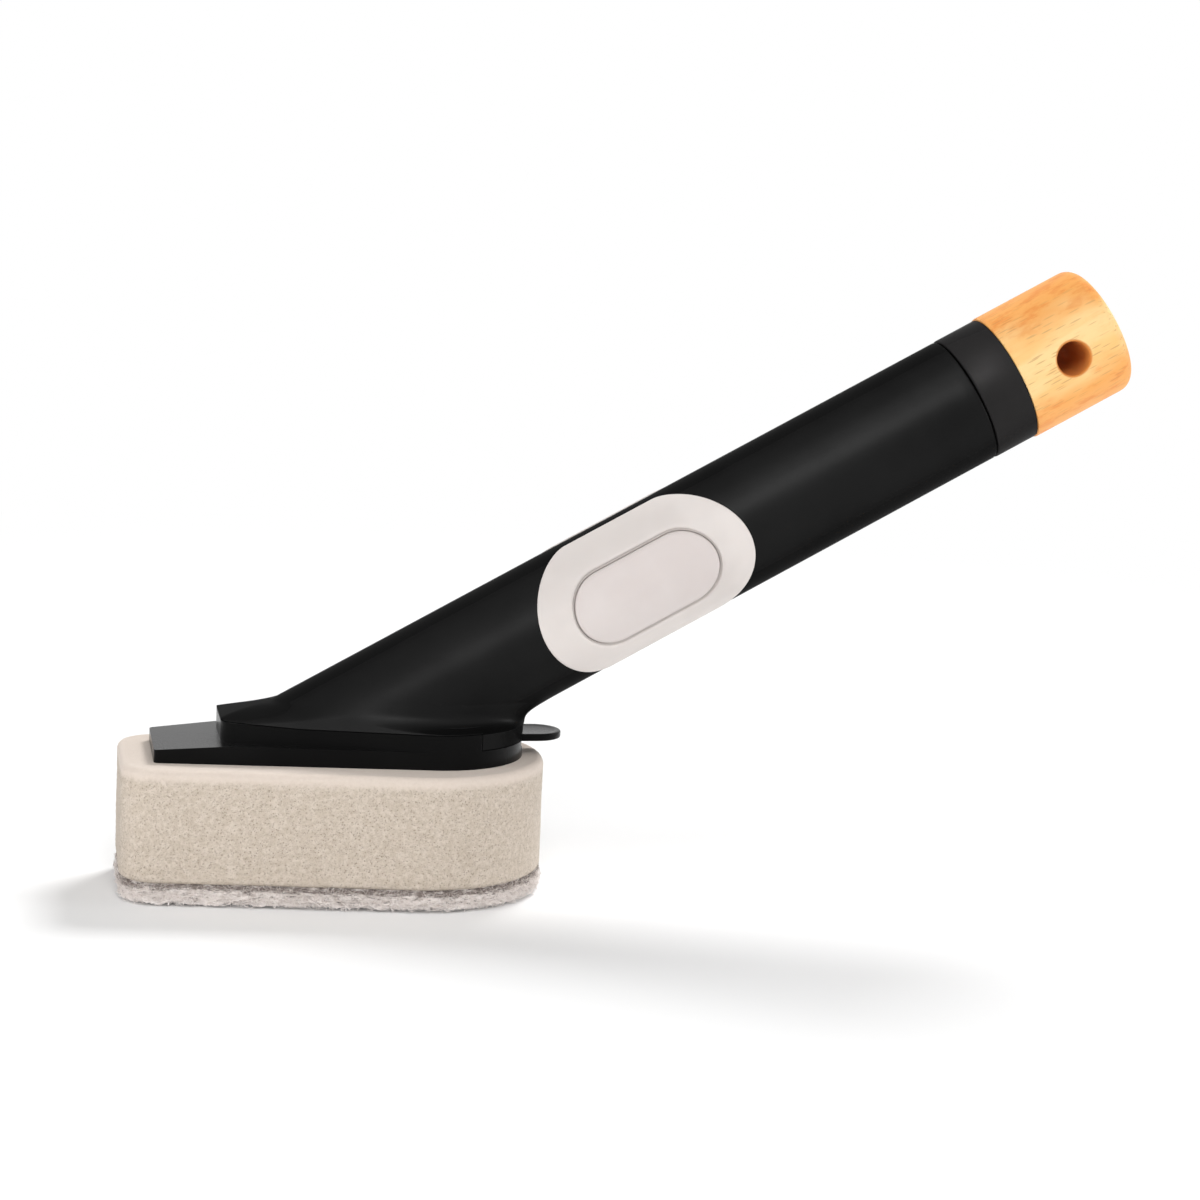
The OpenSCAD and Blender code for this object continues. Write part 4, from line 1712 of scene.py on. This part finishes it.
    def sponge_body(self) -> bpy.types.Object:
        """Makes the foam as a soft cut block with an eased top edge and uneven sides.

        Returns:
            The finished foam.
        """
        s, soft, side_rows = self.sizes, 1.7, 40
        side_z = s.scour_t + 0.5
        side_h = s.sponge_top - soft - side_z
        rows = [(6.0, s.scour_t), (2.0, s.scour_t), (0.25, s.scour_t + 0.02)]
        rows += [(0.0, side_z + side_h * k / side_rows) for k in range(side_rows + 1)]
        rows += [(soft * away, s.sponge_top - soft + soft * up) for away, up in quarter(12)]
        rows += [(soft + 0.7 * k, s.sponge_top) for k in range(1, 8)]
        rings = [self.sponge.ring(inset, z, 0.55) for inset, z in rows]
        for (inset, z), ring in zip(rows, rings):
            for spot in ring:
                pull = Vector((spot.x, spot.y, 0.0)).normalized()
                rough = noise.noise(spot * 1.9) * 0.12 + noise.noise(spot * 0.12) * 0.14
                under = 0.5 * max(0.0, 1 - (z - s.scour_t) / 0.7)
                if inset < soft:
                    spot -= pull * (0.15 + under + rough)
                elif z > s.scour_t + 1:
                    spot.z -= 0.02 + abs(rough) * 0.3
        return fix(skin("foam_block", rings), self.foam,
                   Fixing("head", "foam", ("foam_sponge",), smooth=80, pad_fill=1.0))

    def scour_body(self) -> bpy.types.Object:
        """Makes the matted core of the scour pad with torn edges.

        Returns:
            The finished core.
        """
        s, side_z, torn_h, top_inset = self.sizes, 0.88, 2.2, 2.2
        rows = [(9.0, 0.03), (3.4, 0.06), (1.7, 0.5), (1.0, 0.75), (0.7, 0.85)]
        rows += [(0.55 + 0.1 * (1 - share) ** 2 + 0.7 * share ** 6, side_z + (s.scour_t - side_z) * share)
                 for share in (k / 20 for k in range(1, 21))]
        rows += [(top_inset, s.scour_t), (6.0, s.scour_t)]
        rings = [self.sponge.ring(inset, z, 0.4) for inset, z in rows]
        for (inset, z), ring in zip(rows, rings):
            lowness = max(0.0, 1 - z / torn_h)
            for spot in ring:
                pull = Vector((spot.x, spot.y, 0.0)).normalized()
                layer = Vector((spot.x * 0.35, spot.y * 0.35, z * 1.6))
                torn = noise.noise(layer) * 0.6 + noise.noise(layer * 3.1) * 0.3
                if inset < top_inset:
                    spot -= pull * (0.25 + torn + lowness * 0.8 * noise.noise(spot * 0.5))
                if 0.2 < z < torn_h:
                    ragged = noise.noise(Vector((spot.x, spot.y, 4.0)) * 0.3) * 1.3
                    ragged += noise.noise(Vector((spot.x, spot.y, 9.0)) * 1.3) * 0.9
                    spot.z = max(0.05, spot.z + ragged * lowness)
        piece = skin("scour_mat", rings)
        return fix(piece, self.scour, Fixing("head", "scour", ("scour_pad",), smooth=80, pad_fill=1.0))

    def strands(self) -> bpy.types.Object:
        """Scatters loose fibres over the scour pad's edge.

        Returns:
            The fibres as one mesh.
        """
        spans = ((1.5, 1.0), (1.0, 1.2), (0.8, 1.7), (0.75, 3.2), (1.05, self.sizes.scour_t - 0.4))
        values = {"Strands per square metre": 3000000.0, "Seed": 11,
                  "Strand radius": 0.06 * MM, "Strand length": 2.8 * MM}
        return self._fibres("scour_strands", spans, 0.55, values)

    def fringe(self) -> bpy.types.Object:
        """Scatters shorter frayed fibres that stand out further along the scour pad's lower edge.

        Returns:
            The fibres as one mesh.
        """
        values = {"Strands per square metre": 2600000.0, "Seed": 23,
                  "Strand radius": 0.07 * MM, "Strand length": 2.4 * MM}
        return self._fibres("scour_fringe", ((1.4, 0.9), (0.85, 1.1), (0.7, 1.7)), 1.15, values)

    def _fibres(self, name: str, spans: Sequence[tuple[float, float]], lean: float,
                values: dict[str, float | int]) -> bpy.types.Object:
        """Scatters fibres over a band round the scour pad, above the floor and below the foam.

        Args:
            name: Name of the fibres.
            spans: Inset and height of the band's rings.
            lean: Largest angle at which a fibre leans out of the band.
            values: Values of the strand tree's inputs.

        Returns:
            The fibres as one mesh.
        """
        band = skin(name, [self.sponge.ring(inset, z) for inset, z in spans], Ends.OPEN)
        fibres = StrandMat(self.strand, lean).run(band, values)
        for vertex in fibres.data.vertices:
            vertex.co.z = min(max(vertex.co.z, 0.03 * MM), (self.sizes.scour_t + 0.3) * MM)
        return fix(fibres, self.strand, Fixing("head", "scour", (), smooth=80, pad_fill=1.0))


# The studio


@dataclass(frozen=True)
class Lamp:
    """One soft lamp: its place, what it faces, its size, its power and whether gloss mirrors it."""

    name: str
    at: Point
    aim: Point
    width: float
    power: float
    mirrored: bool = True


@dataclass
class Studio:
    """Pale floor, white surroundings, soft lamps and the camera at the photograph's angle."""

    eye: Point = (-0.07032, -0.62806, 0.17100)
    turn: float = math.radians(11.72)
    dip: float = math.radians(9.32)
    roll: float = math.radians(2.56)
    lens: float = 85.41
    lamps: tuple[Lamp, ...] = (
        Lamp("key", at=(0.6, 0.72, 1.1), aim=(0.03, 0.0, 0.03), width=0.5, power=13.5,
             mirrored=False),
        Lamp("front", at=(-0.05, -0.99, 0.82), aim=(0.08, 0.0, 0.06), width=0.5, power=4.8),
        Lamp("low_front", at=(0.0, -1.25, 0.22), aim=(0.05, 0.0, 0.04), width=0.36, power=1.2,
             mirrored=False),
        Lamp("top", at=(-0.06, -0.6, 1.2), aim=(0.08, 0.0, 0.05), width=0.5, power=2.0),
        Lamp("right", at=(1.05, -0.25, 0.25), aim=(0.05, 0.0, 0.05), width=0.4, power=2.9),
        Lamp("left", at=(-1.0, -0.35, 0.25), aim=(0.0, 0.0, 0.03), width=0.4, power=3.8,
             mirrored=False),
    )

    def camera(self) -> None:
        """Sets up the camera."""
        level = Vector((math.sin(self.turn), math.cos(self.turn), 0.0))
        ahead = level * math.cos(self.dip) - Vector((0.0, 0.0, math.sin(self.dip)))
        right = Vector((level.y, -level.x, 0.0))
        up = right.cross(ahead)
        rolled_right = right * math.cos(self.roll) + up * math.sin(self.roll)
        rolled_up = up * math.cos(self.roll) - right * math.sin(self.roll)
        data = bpy.data.cameras.new("photo_camera")
        data.lens = self.lens
        data.sensor_width = 36.0
        data.clip_start = 0.01
        data.clip_end = 20.0
        camera = link("photo_camera", data)
        axes = Matrix((rolled_right, rolled_up, -ahead)).transposed().to_4x4()
        camera.matrix_world = Matrix.Translation(self.eye) @ axes
        bpy.context.scene.camera = camera

    def floor(self) -> None:
        """Lays the floor, which shows white but keeps the shadow."""
        half, low = 6.0, -0.0002
        mesh = bpy.data.meshes.new("floor")
        signs = ((-1, -1), (1, -1), (1, 1), (-1, 1))
        mesh.from_pydata([(x * half, y * half, low) for x, y in signs], [], [(0, 1, 2, 3)])
        graph = Graph(bpy.data.materials.new("floor_white"))
        seen = self._seen(graph)
        reach = graph.add("ShaderNodeVectorMath", {"operation": "LENGTH"}, {0: graph.place()},
                          out="Value")
        matt = graph.add("ShaderNodeBsdfDiffuse", None, {"Color": (0.88, 0.88, 0.88, 1.0)})
        glow = graph.add("ShaderNodeEmission", None, {"Strength": seen * 0.04})
        near = graph.add("ShaderNodeAddShader", None, {0: matt, 1: glow})
        far = graph.add("ShaderNodeEmission", None, {"Color": WHITE, "Strength": 1.0})
        graph.end(graph.add("ShaderNodeMixShader", None,
                            {0: reach.ease(0.25, 0.6) * seen, 1: near, 2: far}))
        mesh.materials.append(graph.owner)
        link("floor", mesh)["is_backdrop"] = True

    @staticmethod
    def _seen(graph: Graph) -> Wire:
        """Gives 1 for camera, glossy and transmission rays and 0 for the rest."""
        camera, glossy, through = (graph.add("ShaderNodeLightPath", out=f"Is {ray} Ray")
                                   for ray in ("Camera", "Glossy", "Transmission"))
        return (camera + glossy).math("ADD", through, clamp=True)

    def world(self) -> None:
        """Sets the white surroundings, which light the object gently."""
        graph = Graph(bpy.data.worlds.new("white_room"))
        light = 0.3 + self._seen(graph) * 0.7
        glow = graph.add("ShaderNodeBackground", None, {"Color": WHITE, "Strength": light})
        graph.end(glow, "ShaderNodeOutputWorld")
        bpy.context.scene.world = graph.owner

    def light(self) -> None:
        """Sets up the lamps."""
        for lamp in self.lamps:
            data = bpy.data.lights.new(lamp.name, "AREA")
            data.shape = "DISK"
            data.size = lamp.width
            data.energy = lamp.power
            item = link(lamp.name, data)
            item.location = lamp.at
            item.visible_glossy = lamp.mirrored
            ahead = Vector(lamp.aim) - Vector(lamp.at)
            item.rotation_euler = ahead.to_track_quat("-Z", "Y").to_euler()

    def build(self) -> None:
        """Sets up the whole studio."""
        bpy.context.scene.view_settings.view_transform = "Standard"
        self.camera()
        self.floor()
        self.world()
        self.light()


def corners(bounds: Iterable[Iterable[float]]) -> list[list[float]]:
    """Turns two corners into plain lists of numbers."""
    return [[float(v) for v in corner] for corner in bounds]


def main() -> None:
    """Builds the dressed wand."""
    logging.basicConfig(level=logging.INFO, format="%(name)s: %(message)s")
    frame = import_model()
    solid_box = corners(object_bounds())
    nodes = frame["nodes"]
    sizes = WandSizes()
    Studio().build()
    black = MouldedPlastic("shell_black").make()
    hidden = MouldedPlastic("inner_black", srgb(28, 28, 29), roughness=0.5).make()
    foot_of_axis = tuple(sizes.on_axis(0, 0, 0) * MM)
    hole_centre = tuple(sizes.on_axis(0, 0, sizes.wood_s + sizes.hole_s) * MM)
    pale = Silicone("pad_silicone", foot_of_axis, sizes.tilt).make()
    press = Silicone("press_silicone", foot_of_axis, sizes.tilt,
                     tone=srgb(214, 206, 203), shade=srgb(208, 199, 196)).make()
    handle = Handle(sizes, black, hidden, pale, press)
    handle.shell()
    handle.threads()
    handle.pads()
    handle.inner(nodes)
    collar = MouldedPlastic("collar_black", srgb(45, 44, 44), roughness=0.4, level=0.03, lustre=0.45)
    cap = Cap(sizes, collar.make(),
              Beech("waxed_beech", sizes.tilt, hole_centre, sizes.hole_r * MM).make(),
              ScrewSteel("screw_steel").make(), SealRubber("seal_rubber").make())
    cap.collar()
    cap.thread()
    cap.knob()
    cap.inner(nodes)
    carriage = MouldedPlastic("carriage_black", srgb(24, 24, 24), roughness=0.26, level=0.13, lustre=0.0)
    head = Head(sizes, carriage.make(),
                SpongeFoam("sponge_foam", sizes.sponge_top * MM).make(),
                ScourFibre("scour_fibre").make(),
                ScourFibre("loose_fibre", srgb(240, 233, 228), gap=srgb(186, 174, 167)).make())
    head.carriage()
    head.tab()
    head.sponge_body()
    head.scour_body()
    head.strands()
    head.fringe()
    {"solid": solid_box, "dressed": corners(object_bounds())}


if __name__ == "__main__":
    main()
